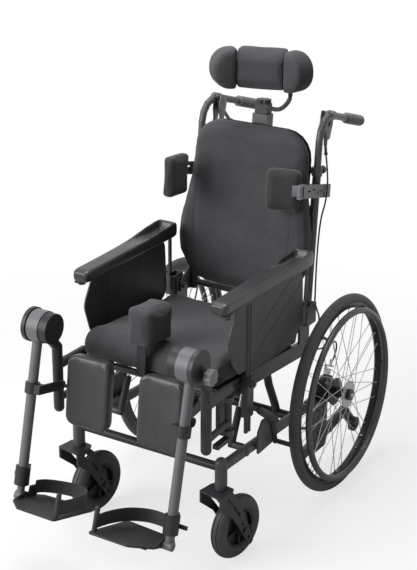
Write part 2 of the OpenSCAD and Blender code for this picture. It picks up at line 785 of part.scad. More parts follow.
module seat_side() {
  difference() {
    union() {
      seat_plane() block([rail_in_x, -seat_front_y, -seat_rail_h], [rail_out_x, -seat_rear_y, 0]);
      // drop plate of the leg rest hinge
      block([rail_out_x - seat_rail_t / 2, -post_y - drop_w / 2, lug_low_z - lug_t / 2],
        [rail_out_x, -post_y + drop_w / 2, rail_top(-post_y) - seat_rail_h / 2]);
      // back hinge plate with the rear arm socket on its outer side
      plate_yz(rail_out_x - seat_rail_t / 2, seat_rail_t / 2, rounded([
        [-recline_y - upright_plate_l * 0.45, rail_top(-recline_y) - seat_rail_h / 2],
        [-recline_y + upright_plate_l / 2, rail_top(-recline_y) - seat_rail_h / 2],
        [-recline_y + upright_plate_l / 2, recline_z + upright_plate_l / 2],
        [-recline_y - upright_plate_l * 0.45, recline_z + upright_plate_l / 2]], seat_rail_t / 2));
      block([rail_out_x - overrun, -socket_y - socket_l / 2, recline_z - socket_h / 3],
        [socket_x + socket_w / 2, -socket_y + socket_l / 2, recline_z + socket_h * 2 / 3]);
    }
    block([rail_out_x + overrun, -socket_y - socket_l / 2 + socket_wall, recline_z - socket_h],
      [socket_x + socket_w / 2 - socket_wall, -socket_y + socket_l / 2 - socket_wall, recline_z + socket_h]);
    bar_x(rail_in_x - overrun, rail_out_x + overrun * 2, -recline_y, recline_z, hinge_pin_d + 2 * run_fit);
    seat_plane() for (z = [-seat_rail_h * 0.28, -seat_rail_h * 0.72])
      block([rail_out_x - groove_d, -seat_front_y - overrun, z - groove_h / 2],
        [rail_out_x + overrun, -arm_post_y + drop_w, z + groove_h / 2]);
  }
  hanger_lug(lug_top_z);
  hanger_lug(lug_low_z);
  arm_receiver();
  // tilt pivot pin and spring pin
  bar_x(upright_x - pivot_boss_w / 2 - side_gap, rail_in_x + overrun, -tilt_y, tilt_z, pivot_pin_d);
  bar_x(upright_x + pivot_boss_w / 2 + side_gap, rail_in_x + overrun, -tilt_y, tilt_z, washer_d);
  bar_x(strut_x - strut_eye_w / 2 - side_gap, rail_in_x + overrun, strut_top[1], strut_top[2], strut_pin_d);
  bar_x(strut_x + strut_eye_w / 2 + side_gap, rail_in_x + overrun, strut_top[1], strut_top[2], strut_pin_d * 1.5);
}

module seat_frame() {
  color(frame_grey) from_axle() {
    both_sides() seat_side();
    seat_plane() {
      bar_x(-rail_in_x - overrun, rail_in_x + overrun, -seat_front_y + crossbar_d, -seat_rail_h / 2, crossbar_d);
      bar_x(-rail_in_x - overrun, rail_in_x + overrun, -recline_y - crossbar_d / 2, -seat_rail_h * 0.78, crossbar_d);
      // guide of the pommel bracket
      difference() {
        block([-pommel_bar_w / 2 - receiver_wall * 2, -seat_front_y, -seat_rail_h / 2],
          [pommel_bar_w / 2 + receiver_wall * 2, -seat_front_y + crossbar_d * 2, -seat_gap]);
        block([-pommel_bar_w / 2 - seat_gap, -seat_front_y - overrun, -pommel_bar_t - pommel_drop - seat_gap],
          [pommel_bar_w / 2 + seat_gap, -seat_front_y + crossbar_d * 3, overrun]);
      }
    }
    bar_x(-rail_in_x - overrun, rail_in_x + overrun, -recline_bar_y, recline_line_z, crossbar_d);
  }
}

module seat_pan() {
  color(frame_black) from_axle() difference() {
    seat_plane() difference() {
      plate_xy(0, pan_t, rounded([
        [-rail_out_x, -seat_front_y], [rail_out_x, -seat_front_y], [rail_out_x, -recline_y - upright_plate_l],
        [-rail_out_x, -recline_y - upright_plate_l]], pan_t * 4));
      for (x = [-1, 1]) for (y = [0.35, 0.6, 0.85])
        translate([x * rail_in_x / 2, -seat_front_y * y, -overrun]) cylinder(d = crossbar_d, h = pan_t + 2 * overrun);
    }
    // windows over the spring eyes
    both_sides() bar_x(strut_x - strut_eye_w / 2 - overrun, strut_x + strut_eye_w / 2 + overrun, strut_top[1], strut_top[2],
      strut_eye_d + 2 * strut_sag + 2 * overrun);
  }
}

cushion_r = 16;
cushion_crown = 8;
cushion_lift = 0.3;
nose_r = 46;
cushion_stations = 9;

// drop of the cushion top at a distance s behind its front edge
function nose_drop(s) = s >= nose_r ? 0 : nose_r - sqrt(max(0, nose_r * nose_r - pow(nose_r - s, 2)));
cushion_steps = concat([for (i = [0 : 5]) nose_r * (1 - cos(i * 18))],
  [for (i = [1 : cushion_stations]) nose_r + (seat_cushion_l - nose_r - cushion_r) * i / cushion_stations],
  [for (i = [1 : 4]) seat_cushion_l - cushion_r * (1 - sin(i * 22.5))]);
function tail_drop(s) = let (q = s - (seat_cushion_l - cushion_r))
  q <= 0 ? 0 : cushion_r - sqrt(max(0, cushion_r * cushion_r - q * q));

module seat_cushion() {
  color(cover_grey) from_axle() seat_plane() loft([
    for (s = cushion_steps)
      let (t = seat_cushion_t - nose_drop(s) * 0.9 - tail_drop(s), w = seat_cushion_w / 2 - tail_drop(s) / 2 - nose_drop(s) * 0.25)
        [for (q = soft_ring(w, pan_t + cushion_lift, pan_t + cushion_lift + t - cushion_crown, cushion_r * 0.9, cushion_crown))
          [q[0], s - cushion_front_y, q[1]]]]);
}

module recline_cylinder() {
  z = recline_line_z;
  color(frame_black) from_axle() difference() {
    union() {
      bar_y(-recline_bar_y - crossbar_d * 0.8, -recline_tube_rear_y, 0, z, recline_tube_d);
      bar_x(-recline_eye_w / 2, recline_eye_w / 2, -recline_bar_y, z, crossbar_d * 1.6);
    }
    bar_x(-recline_tube_d, recline_tube_d, -recline_bar_y, z, crossbar_d + 2 * run_fit);
    bar_y(-recline_bar_y + crossbar_d, -recline_tube_rear_y + overrun, 0, z, recline_rod_d + 2 * run_fit);
  }
}

module recline_rod() {
  z = recline_line_z;
  color(steel) from_axle() difference() {
    union() {
      bar_y(-recline_bar_y + crossbar_d * 2 + recline_r * 2 * sin(recline_range / 2), recline_eye[1], 0, z, recline_rod_d);
      bar_x(-recline_eye_w / 2, recline_eye_w / 2, recline_eye[1], z, recline_eye_d);
    }
    bar_x(-recline_eye_w, recline_eye_w, recline_eye[1], z, recline_pin_d + recline_sag + 2 * side_gap);
  }
}

pommel_z0 = pan_t + cushion_lift + seat_cushion_t + pommel_lift;
pommel_r = 16;
pommel_bar_y = cushion_front_y + pommel_bar_t * 1.5;

// ring of a block with rounded upright edges, drawn in x and y
function plan_ring(x0, x1, y0, y1, r, z, n = 5) = [
  for (q = rounded([[x0, y0], [x1, y0], [x1, y1], [x0, y1]], r, n)) [q[0], q[1], z]];

// steps from 0 to 1 that round over the two ends of a block
round_steps = [0, 0.02, 0.08, 0.2, 0.4, 0.65, 1];

function inset_at(t) = 1 - sqrt(max(0, 1 - (1 - t) * (1 - t)));

// block with all its edges rounded by r
module pillow(a, b, r, corner_r) {
  loft(concat(
    [for (t = round_steps) plan_ring(a[0] + r * inset_at(t), b[0] - r * inset_at(t), a[1] + r * inset_at(t),
      b[1] - r * inset_at(t), corner_r, a[2] + r * t)],
    [for (i = [len(round_steps) - 1 : -1 : 0]) let (t = round_steps[i])
      plan_ring(a[0] + r * inset_at(t), b[0] - r * inset_at(t), a[1] + r * inset_at(t),
        b[1] - r * inset_at(t), corner_r, b[2] - r * t)]), plan = true);
}

// block of any outline in plan, its upper and lower edges rounded by r; the outline shrinks about its point c
module padded(outline, c, radii, r, z0, z1) {
  steps = concat([for (t = round_steps) [t, z0 + r * t]], [for (i = [len(round_steps) - 1 : -1 : 0]) [round_steps[i], z1 - r * round_steps[i]]]);
  loft([for (q = steps) let (k = 1 - inset_at(q[0]) * r / norm(outline[0] - c))
    [for (p = rounded([for (p = outline) c + (p - c) * k], radii, 5)) [p[0], p[1], q[1]]]], plan = true);
}

module pommel() {
  color(cover_grey) from_axle() seat_plane() {
    translate([0, 0, pommel_z0])
      pillow([-pommel_w / 2, -pommel_front_y, 0], [pommel_w / 2, pommel_l - pommel_front_y, pommel_h],
        pommel_r * 0.7, pommel_r * 1.2);
    // flat bracket in front of the cushion and under the pan
    block([-pommel_bar_w / 2, -pommel_bar_y, -pommel_bar_t - pommel_drop],
      [pommel_bar_w / 2, -pommel_bar_y + pommel_bar_t, pommel_z0 + pommel_r]);
    block([-pommel_bar_w / 2, -pommel_bar_y, -pommel_bar_t - pommel_drop],
      [pommel_bar_w / 2, -pommel_bar_y + pommel_bar_l, -pommel_drop]);
  }
}

// back
lug_gap = 1;
lug_plate_t = 6;
cane_r = cane_d / 2;
head_block_w = 50;
head_block_l = 36;
head_block_z0 = 508;
head_block_z1 = 560;
head_bar = 14;
head_bar_y = 66;
cane_bore_z = 285;
handle_tube_d = cane_d - 2 * cane_wall - 2 * run_fit;

module back_side() {
  difference() {
    union() {
      back_plane() {
        bar_z(cane_low, cane_top, cane_x, cane_y, cane_d);
        bar_z(cane_top - cane_d, cane_top, cane_x, cane_y, cane_d + receiver_wall * 2);
        // hinge plate welded to the foot of the cane
        plate_yz(rail_out_x - seat_rail_t / 2 - hinge_gap - hinge_t, hinge_t, rounded([
          [-hinge_pin_d * 1.3, -hinge_pin_d * 1.3], [cane_y, cane_low], [cane_y, cane_low + upright_plate_l * 1.3],
          [cane_y - cane_r, cane_low + upright_plate_l * 1.3], [-hinge_pin_d * 1.3, hinge_pin_d * 1.3]], hinge_t / 2));
      }
      bar_x(cane_x, rail_out_x + side_gap, -recline_y, recline_z, hinge_pin_d);
    }
    back_plane() bar_z(cane_bore_z, cane_top + overrun, cane_x, cane_y, handle_tube_d + 2 * run_fit);
  }
  // clamping knob of the push handle
  back_plane() bar_y(cane_y + cane_r, cane_y + cane_r + knob_d, cane_x, cane_top - cane_r, knob_d / 2);
  back_plane() bar_y(cane_y + cane_r + knob_d / 2, cane_y + cane_r + knob_d, cane_x, cane_top - cane_r, knob_d);
}

module back_frame() {
  color(frame_grey) from_axle() {
    both_sides() back_side();
    difference() {
      union() {
        back_plane() {
          for (z = [cross_low_z, cross_mid_z, cross_high_z])
            bar_x(-cane_x, cane_x, cane_y, max(z, cane_low + crossbar_d), crossbar_d);
          // upright and clamp block of the headrest
          block([-head_block_w / 3, cane_y - lug_plate_t / 2, cross_high_z],
            [head_block_w / 3, cane_y + lug_plate_t / 2, head_block_z1]);
          block([-head_block_w / 2, cane_y - lug_plate_t / 2, head_block_z0],
            [head_block_w / 2, cane_y - lug_plate_t / 2 + head_block_l, head_block_z1]);
          bar_y(cane_y + head_block_l - lug_plate_t, cane_y + head_block_l + knob_t, 0, (head_block_z0 + head_block_z1) / 2,
            knob_d);
        }
        // lugs that push the recline spring
        both_sides() difference() {
          translate([recline_eye_w / 2 + lug_gap, 0, 0]) rotate([90, 0, 90]) linear_extrude(lug_plate_t) polygon(concat(
            arc([recline_eye[1], recline_eye[2]], recline_pin_d, -160, 10, 8),
            [[-recline_y + cane_y + crossbar_d / 2, recline_z], [-recline_y + cane_y - crossbar_d / 2, recline_z]]));
        }
        bar_x(-recline_eye_w / 2 - lug_gap - lug_plate_t, recline_eye_w / 2 + lug_gap + lug_plate_t,
          recline_eye[1], recline_eye[2], recline_pin_d);
      }
      back_plane() {
        both_sides() bar_z(cane_bore_z, cane_top + overrun, cane_x, cane_y, handle_tube_d + 2 * run_fit);
        block([-head_bar / 2 - run_fit, head_bar_y - head_bar / 2 - run_fit, head_block_z0 - overrun],
          [head_bar / 2 + run_fit, head_bar_y + head_bar / 2 + run_fit, head_block_z1 + overrun]);
      }
    }
  }
}

shell_half_w = cane_x - cane_r;
shell_top_r = 80;

module back_shell() {
  color(frame_black) from_axle() back_plane() difference() {
    union() {
      translate([0, shell_y + shell_t, 0]) rotate([90, 0, 0]) linear_extrude(shell_t) polygon(rounded([
        [-shell_half_w, shell_z0], [shell_half_w, shell_z0], [shell_half_w, back_cushion_h - cane_r],
        [-shell_half_w, back_cushion_h - cane_r]], [bracket_w, bracket_w, shell_top_r, shell_top_r]));
      both_sides() for (z = bracket_shares)
        block([cane_x - bracket_w, shell_y, z * cane_top - bracket_h / 2], [cane_x + cane_r / 2, cane_y, z * cane_top + bracket_h / 2]);
    }
    both_sides() bar_z(cane_low, cane_top + cane_d, cane_x, cane_y, cane_d + 2 * run_fit);
  }
}

bracket_shares = [0.28, 0.7];

// half width and wing depth of the back cushion, by share of its height
back_width_shares = [[0, 0.4], [0.03, 0.78], [0.1, 0.87], [0.2, 0.97], [0.3, 1], [0.4, 1], [0.52, 0.955], [0.65, 0.915],
  [0.8, 0.885], [0.87, 0.87], [0.92, 0.82], [0.955, 0.75], [0.98, 0.66], [0.995, 0.56], [1, 0.4]];
back_wing_shares = [[0, 0], [0.1, 0.55], [0.2, 0.95], [0.32, 1], [0.45, 0.75], [0.6, 0.3], [0.75, 0.06], [1, 0]];
back_end_shares = [[0, 0.5], [0.03, 0.12], [0.08, 0], [0.92, 0], [0.98, 0.12], [1, 0.5]];
wing_depth = 38;
back_z0 = 16;
edge_share = 0.09;

module back_cushion() {
  color(cover_grey) from_axle() back_plane() loft([
    for (s = [for (q = back_width_shares) q[0]])
      let (w = back_cushion_w / 2 * lookup(s, back_width_shares), wing = wing_depth * lookup(s, back_wing_shares),
        thin = back_cushion_t * lookup(s, back_end_shares), z = back_z0 + s * (back_cushion_h - back_z0),
        rear = back_front_y + back_cushion_t, edge = back_cushion_t / 2)
        concat(
          [for (i = [-10 : 10]) let (x = sin(i * 9), a = abs(x), over = max(0, a - (1 - edge_share)) / edge_share)
            [w * x, back_front_y + thin - wing * pow(a, 3) + edge * (1 - sqrt(max(0, 1 - over * over))), z]],
          [[w * 0.985, rear - edge * 0.2, z], [w * 0.93, rear, z], [-w * 0.93, rear, z], [-w * 0.985, rear - edge * 0.2, z]])],
    plan = true);
}

// casters; both swivel the same way, so they are placed rather than mirrored
fork_t = 5;
fork_in_x = caster_w / 2 + 11;
crown_z = housing_z0 - overrun;
crown_t = 6;
fork_front = 46;
fork_back = 4;
fork_end_r = 13;
fork_slot_w = 10;
fork_hole_pitch = 30;
caster_axle_d = 12;
caster_rim_r = 59;
caster_hub_r = 15;
caster_web_t = 10;
caster_ribs = 5;
groove_w = 2.5;

function slot_outline(p, q, w) = let (a = atan2(q[1] - p[1], q[0] - p[0]))
  concat(arc(p, w / 2, a + 90, a + 270), arc(q, w / 2, a - 90, a + 90));

module at_caster(side) {
  translate([side * rail_x, -wheelbase, 0]) rotate([0, 0, -caster_yaw]) children();
}

module caster_fork() {
  axle = [caster_trail, caster_d / 2];
  down = unit([caster_trail * 0.5, -caster_d * 0.32]);
  fork_end = axle + down * fork_hole_pitch * 1.55;
  edge = [-down[1], down[0]];
  outline = concat(
    [[-fork_front, crown_z], [fork_back, crown_z], [fork_back + crown_t * 2.5, crown_z - crown_t * 2.5]],
    [axle + edge * fork_end_r * 1.7 - down * fork_hole_pitch * 1.6],
    arc(fork_end, fork_end_r, 62, -118, 8),
    [axle - edge * fork_end_r * 1.5 - down * fork_hole_pitch * 2.6, [-fork_front, crown_z - fork_front * 0.8]]);
  difference() {
    union() {
      plate_xy(crown_z - crown_t, crown_t, rounded([
        [-fork_in_x - fork_t, -fork_front], [fork_in_x + fork_t, -fork_front],
        [fork_in_x + fork_t, fork_back], [fork_in_x - fork_t, fork_back + housing_d / 2],
        [-fork_in_x + fork_t, fork_back + housing_d / 2], [-fork_in_x - fork_t, fork_back]], fork_t / 3));
      for (x = [-fork_in_x - fork_t, fork_in_x]) plate_yz(x, fork_t, outline);
    }
    plate_yz(-fork_in_x - fork_t - overrun, 2 * (fork_in_x + fork_t + overrun),
      slot_outline([-fork_front * 0.25, crown_z - fork_front * 0.4], axle - down * fork_hole_pitch * 2.2 + edge * fork_t,
        fork_slot_w));
    for (s = [-1, 1])
      let (p = axle + down * fork_hole_pitch * s) bar_x(-fork_in_x - 2 * fork_t, fork_in_x + 2 * fork_t, p[0], p[1], hole_d);
  }
  bar_z(crown_z - crown_t / 2, stem_z1 - overrun, 0, 0, stem_d);
  bar_z(crown_z, housing_z0 - seat_gap, 0, 0, stem_d * 1.7);
  bar_x(-fork_in_x - fork_t, fork_in_x + fork_t, axle[0], axle[1], caster_axle_d);
  for (x = [-fork_in_x - 2 * fork_t, fork_in_x + fork_t - overrun / 2])
    bar_x(x, x + fork_t + overrun / 2, axle[0], axle[1], caster_axle_d * 1.6, $fn = 6);
  for (x = [-fork_in_x - overrun / 2, caster_w / 2 + seat_gap])
    difference() {
      bar_x(x, x + fork_in_x - caster_w / 2 - seat_gap + overrun / 2, axle[0], axle[1], caster_axle_d * 1.5);
    }
}

module caster_fork_left() {
  color(frame_black) from_axle() at_caster(1) caster_fork();
}

module caster_fork_right() {
  color(frame_black) from_axle() at_caster(-1) caster_fork();
}

module caster_wheel() {
  translate([0, caster_trail, caster_d / 2]) rotate([0, 90, 0]) difference() {
    union() {
      rotate_extrude($fn = 72) difference() {
        union() {
          intersection() {
            translate([caster_d / 2 - caster_w / 2, 0]) circle(d = caster_w);
            translate([caster_rim_r, -caster_w / 2]) square([caster_d, caster_w]);
          }
          translate([caster_rim_r - caster_hub_r / 2, -caster_w * 0.38]) square([caster_hub_r, caster_w * 0.76]);
          translate([0, -caster_web_t / 2]) square([caster_rim_r, caster_web_t]);
        }
        for (h = [-caster_w / 6, caster_w / 6])
          translate([caster_d / 2 - groove_w * 1.4, h - groove_w / 2]) square(groove_w * 2);
      }
      translate([0, 0, -caster_w / 2]) cylinder(r = caster_hub_r, h = caster_w);
      for (i = [0 : caster_ribs - 1]) rotate([0, 0, i * 360 / caster_ribs])
        translate([0, -caster_web_t / 3, -caster_w * 0.34]) cube([caster_rim_r - groove_w, caster_web_t * 2 / 3, caster_w * 0.68]);
    }
    translate([0, 0, -caster_w]) cylinder(d = caster_axle_d + 2 * run_fit, h = 2 * caster_w);
  }
}

module caster_wheel_left() {
  color(tyre_grey) from_axle() at_caster(1) caster_wheel();
}

module caster_wheel_right() {
  color(tyre_grey) from_axle() at_caster(-1) caster_wheel();
}

// leg rests
knee = [-knee_y, knee_z];
knee_in_x = knee_x - drum_knee_w / 2;
knee_out_x = knee_x + drum_knee_w / 2;
hanger_x = leg_x - 2;
star_offset = [12, -25];
star_d = 46;
star_t = 22;
star_lobes = 8;
star_stem_l = 18;
link_z = 430;
latch_w = 18;
latch_l = 66;
latch_z0 = 376;
latch_t = 13;

module star_knob(d, t) {
  linear_extrude(t) polygon([for (i = [0 : 63]) d / 2 * (0.92 + 0.08 * cos(i * star_lobes * 360 / 64)) *
    [cos(i * 360 / 64), sin(i * 360 / 64)]]);
}

module hanger() {
  rise = unit([0, -knee_y + hanger_front_y, knee_z - hanger_bend_z]);
  tip = [hanger_x, -knee_y, knee_z] - rise * (drum_knee_r + hanger_tube_d * 0.6);
  jointed([[hanger_x, -hanger_front_y, hanger_low_z], [hanger_x, -hanger_front_y, hanger_bend_z], tip], hanger_tube_d,
    joint_share);
  bar_x(hanger_x, knee_out_x + knee_gap + disc_knee_w * 0.7, tip[1], tip[2], hanger_tube_d);
  plate_yz(knee_out_x + knee_gap, disc_knee_w * 0.7, slot_outline([tip[1], tip[2]], knee, hanger_tube_d));
  bar_x(knee_out_x + knee_gap, knee_out_x + knee_gap + disc_knee_w, knee[0], knee[1], 2 * disc_knee_r);
  bar_x(knee_in_x - cap_knee_w * 0.6, knee_out_x + knee_gap + disc_knee_w + plug_t, knee[0], knee[1], knee_pin_d);
  bar_x(knee_out_x + disc_knee_w, knee_out_x + disc_knee_w + star_stem_l, knee[0] + star_offset[0], knee[1] + star_offset[1],
    knee_pin_d);
  translate([knee_out_x + knee_gap + disc_knee_w + star_stem_l / 2, knee[0] + star_offset[0], knee[1] + star_offset[1]])
    rotate([90, 0, 90]) star_knob(star_d, star_t);
  // hinge post, top tube, lower link and latch
  bar_z(latch_z0, hanger_top_z, post_x, -post_y, post_d);
  rod([post_x, -post_y, hanger_top_z], [hanger_x, -hanger_front_y, hanger_top_z], hanger_top_d);
  translate([post_x, -post_y, hanger_top_z]) sphere(d = hanger_top_d);
  rod([post_x, -post_y, link_z], [hanger_x, -hanger_front_y, link_z - post_d / 4], post_d);
  block([post_x - latch_w / 2, -post_y - latch_l, latch_z0], [post_x + latch_w / 2, -post_y + post_d / 2, latch_z0 + latch_t]);
  translate([hanger_x, -hanger_front_y, hanger_low_z]) sphere(d = hanger_tube_d);
}

module hanger_left() {
  color(frame_grey) from_axle() hanger();
}

module hanger_right() {
  color(frame_grey) from_axle() other_side() hanger();
}

calf_z = 174;
calf_y = 95;
calf_clamp_h = 30;
calf_arm_t = 6;
calf_arm_w = 26;
calf_pin_d = 10;
calf_x1 = calf_x0 + calf_pad_w;
calf_lean = 7;
leg_bore_top = 220;
leg_end = leg_len - foot_pivot_d / 2 - 20;

module leg_tube() {
  leg_plane() difference() {
    union() {
      bar_x(knee_in_x, knee_out_x, 0, 0, 2 * drum_knee_r);
      bar_x(knee_in_x - cap_knee_w, knee_in_x, 0, 0, 2 * drum_knee_r * 0.95);
      bar_z(-leg_end, 0, leg_x, 0, leg_tube_d);
      bar_z(-leg_end, -leg_end + collar_l, leg_x, 0, collar_d);
      block([leg_x - calf_arm_t / 2, 0, -leg_end], [leg_x + calf_arm_t / 2, collar_d * 0.75, -leg_end + collar_l]);
      block([leg_x, collar_d / 3, -leg_end + collar_l * 0.3], [leg_x + collar_d * 0.9, collar_d / 2, -leg_end + collar_l * 0.5]);
      // clamp and arm of the calf pad
      bar_z(-calf_z - calf_clamp_h / 2, -calf_z + calf_clamp_h / 2, leg_x, 0, leg_tube_d + calf_arm_t * 2);
      block([calf_x1 + calf_pin_d * 2, -calf_arm_w / 2, -calf_z - calf_arm_w / 2], [leg_x, calf_arm_w / 2, -calf_z + calf_arm_w / 2]);
      plate_yz(calf_x1 + calf_pin_d * 2, calf_arm_t, slot_outline([0, -calf_z], [calf_y, -calf_z], calf_arm_w));
      bar_x(calf_x1 - calf_pin_d, calf_x1 + calf_pin_d * 2 + overrun, calf_y, -calf_z, calf_pin_d);
    }
    bar_x(knee_in_x - cap_knee_w * 0.7, leg_x + leg_tube_d, 0, 0, knee_pin_d + 2 * run_fit);
    bar_z(-leg_end - overrun, -leg_bore_top, leg_x, 0, post_tube_d + 2 * run_fit);
  }
}

module leg_tube_left() {
  color(light_grey) from_axle() leg_tube();
}

module leg_tube_right() {
  color(light_grey) from_axle() other_side() leg_tube();
}

calf_dish = 7;
calf_corner_r = 10;
calf_round_r = 26;
calf_edge = 5;

module calf_pad() {
  h = calf_pad_h;
  steps = concat([for (t = round_steps) calf_round_r * t], [for (i = [len(round_steps) - 1 : -1 : 0]) h - calf_round_r * round_steps[i]]);
  leg_plane() translate([0, calf_y, -calf_z]) rotate([calf_lean, 0, 0]) difference() {
    loft([for (s = steps)
      let (k = inset_at(min(1, min(s, h - s) / calf_round_r)), x0 = calf_x0 + calf_round_r * k, x1 = calf_x1 - calf_round_r * k,
        y0 = calf_edge * k - calf_t / 2, y1 = calf_t / 2 - calf_edge * k, m = (x0 + x1) / 2, q = (x1 - x0) / 4)
        [for (p = rounded([[x0, y0], [m - q, y0 + calf_dish * 0.75], [m, y0 + calf_dish], [m + q, y0 + calf_dish * 0.75], [x1, y0],
          [x1 - calf_dish, y1], [x0 + calf_dish, y1]],
          [calf_corner_r * (1 - k * 0.5), 0, 0, 0, calf_corner_r * (1 - k * 0.5), calf_corner_r * (1 - k * 0.5), calf_corner_r * (1 - k * 0.5)], 4))
          [p[0], p[1], s - h / 2]]], plan = true);
    bar_x(calf_x1 - calf_pin_d * 1.2, calf_x1 + overrun, 0, 0, calf_pin_d + 2 * run_fit);
  }
}

module calf_pad_left() {
  color(soft_black) from_axle() calf_pad();
}

module calf_pad_right() {
  color(soft_black) from_axle() other_side() calf_pad();
}

foot_wall_t = 6;
foot_wall_x = leg_x - foot_pivot_d / 2 - side_gap;
foot_front = 100;
foot_rear = 92;
foot_in_x = 55;
foot_front_out_x = 180;
foot_post_top = 240;
inner_post_d = 14;
inner_post_h = 62;
inner_post_x = foot_in_x + 8;
inner_post_y = 82;
foot_rim = 3;
foot_corner_r = 9;

module foot_post() {
  leg_plane() {
    bar_z(-leg_len, -foot_post_top, leg_x, 0, post_tube_d);
    bar_x(leg_x - foot_pivot_d / 2, leg_x + foot_pivot_d / 2, 0, -leg_len, foot_pivot_d);
    bar_x(foot_wall_x - foot_wall_t - side_gap, leg_x, 0, -leg_len, foot_pin_d);
  }
}

module foot_post_left() {
  color(light_grey) from_axle() foot_post();
}

module foot_post_right() {
  color(light_grey) from_axle() other_side() foot_post();
}

module foot_plane() {
  translate([0, -knee_y - leg_len * sin(leg_angle), knee_z - leg_len * cos(leg_angle)]) rotate([-foot_pitch, 0, 0]) children();
}

module footplate() {
  foot_plane() difference() {
    union() {
      plate_xy(-foot_t, foot_t, rounded([
        [foot_in_x, -foot_front], [foot_front_out_x, -foot_front], [foot_wall_x, -foot_front * 0.5], [foot_wall_x, foot_rear * 0.6],
        [foot_wall_x - foot_t * 3, foot_rear * 0.8], [foot_in_x, foot_rear]], foot_corner_r));
      // outer wall with the pivot hole
      plate_yz(foot_wall_x - foot_wall_t, foot_wall_t, concat(
        [[-foot_front * 0.46, -foot_t], [-foot_front * 0.46, 0]], arc([0, 0], foot_pin_d * 1.6, 110, 20, 6),
        [[foot_rear * 0.2, strap_z0 + strap_w * 0.6], [foot_rear * 0.55, strap_z0 + strap_w * 0.6], [foot_rear * 0.55, -foot_t]], arc([0, 0], foot_pin_d * 1.3, -40, -140, 6)));
      bar_z(-foot_t, inner_post_h, inner_post_x, -inner_post_y, inner_post_d);
      translate([inner_post_x, -inner_post_y, inner_post_h]) sphere(d = inner_post_d);
      // stiffening ribs under the plate
      for (s = [0.25, 0.5, 0.75])
        block([foot_in_x + foot_t * 2, -foot_front + s * (foot_front + foot_rear) * 0.9 - foot_rim / 2, -foot_t * 2],
          [foot_wall_x - foot_t * 3, -foot_front + s * (foot_front + foot_rear) * 0.9 + foot_rim / 2, -foot_t + overrun]);
    }
    bar_x(foot_wall_x - 2 * foot_wall_t, foot_wall_x + overrun, 0, 0, foot_pin_d + 2 * run_fit);
  }
}

module footplate_left() {
  color(frame_black) from_axle() footplate();
}

module footplate_right() {
  color(frame_black) from_axle() other_side() footplate();
}

strap_z0 = 7;
// strap route, as shares from the inner post to the outer wall and from plate front to plate rear
strap_shares = [[0, 0.1335], [-0.02, 0.5], [0.06, 0.86], [0.3, 1.08], [0.62, 1.08], [0.93, 0.9], [1, 0.7]];

function normal_2d(p, i) = let (a = p[max(0, i - 1)], b = p[min(len(p) - 1, i + 1)], d = unit(b - a)) [-d[1], d[0]];
function band(p, t) = concat(
  [for (i = [0 : len(p) - 1]) p[i] + normal_2d(p, i) * t / 2],
  [for (i = [len(p) - 1 : -1 : 0]) p[i] - normal_2d(p, i) * t / 2]);

module heel_strap() {
  x0 = inner_post_x;
  x1 = foot_wall_x - foot_wall_t - seat_gap - strap_t / 2;
  route = spline([for (s = strap_shares) [x0 + (x1 - x0) * s[0], -foot_front + (foot_front + foot_rear) * s[1]]], 5);
  foot_plane() plate_xy(strap_z0, strap_w, band(route, strap_t));
}

module heel_strap_left() {
  color(soft_black) from_axle() heel_strap();
}

module heel_strap_right() {
  color(soft_black) from_axle() other_side() heel_strap();
}

// arm rests
pad_t = 35;
pad_rear_y = 122;
pad_front_y = pad_rear_y + arm_pad_l;
pad_rim = 11;
pad_dish = 14;
pad_wall = 9;
pad_edge = 7;
pad_knob_y = 562;
pad_knob_d = 22;
panel_t = 4;
panel_z0 = 525;
wing_z0 = 547;
arm_post_z0 = 351;
rear_post_y = 117;
rear_post_w = 12;
rear_post_t = 6;
arm_bar_w = 18;
arm_bar_t = 12;
// centre, half width, rim height and dish depth of the pad, by share of its length from the front
pad_mid_shares = [[0, 0.115], [0.35, 0.12], [0.7, 0.14], [0.9, 0.15], [1, 0.15]];
pad_half_shares = [[0, 0.82], [0.012, 0.93], [0.04, 1], [0.3, 1.03], [0.6, 1.12], [0.85, 1.3], [0.95, 1.3], [0.985, 1.24], [1, 1.1]];
pad_half_w = 26;
pad_rim_shares = [[0, 0], [0.55, 0], [0.7, 0.35], [0.85, 0.85], [1, 1]];
pad_dish_shares = [[0, 0], [0.55, 0], [0.7, 0.45], [0.82, 1], [0.955, 1], [0.975, 0.2], [0.985, 0], [1, 0]];
pad_end_shares = [[0, 1], [0.006, 0.55], [0.016, 0.25], [0.035, 0], [0.975, 0], [0.992, 0.3], [1, 0.8]];
pad_steps = [0, 0.006, 0.016, 0.035, 0.1, 0.3, 0.5, 0.6, 0.7, 0.76, 0.82, 0.9, 0.955, 0.965, 0.975, 0.985, 0.993, 1];

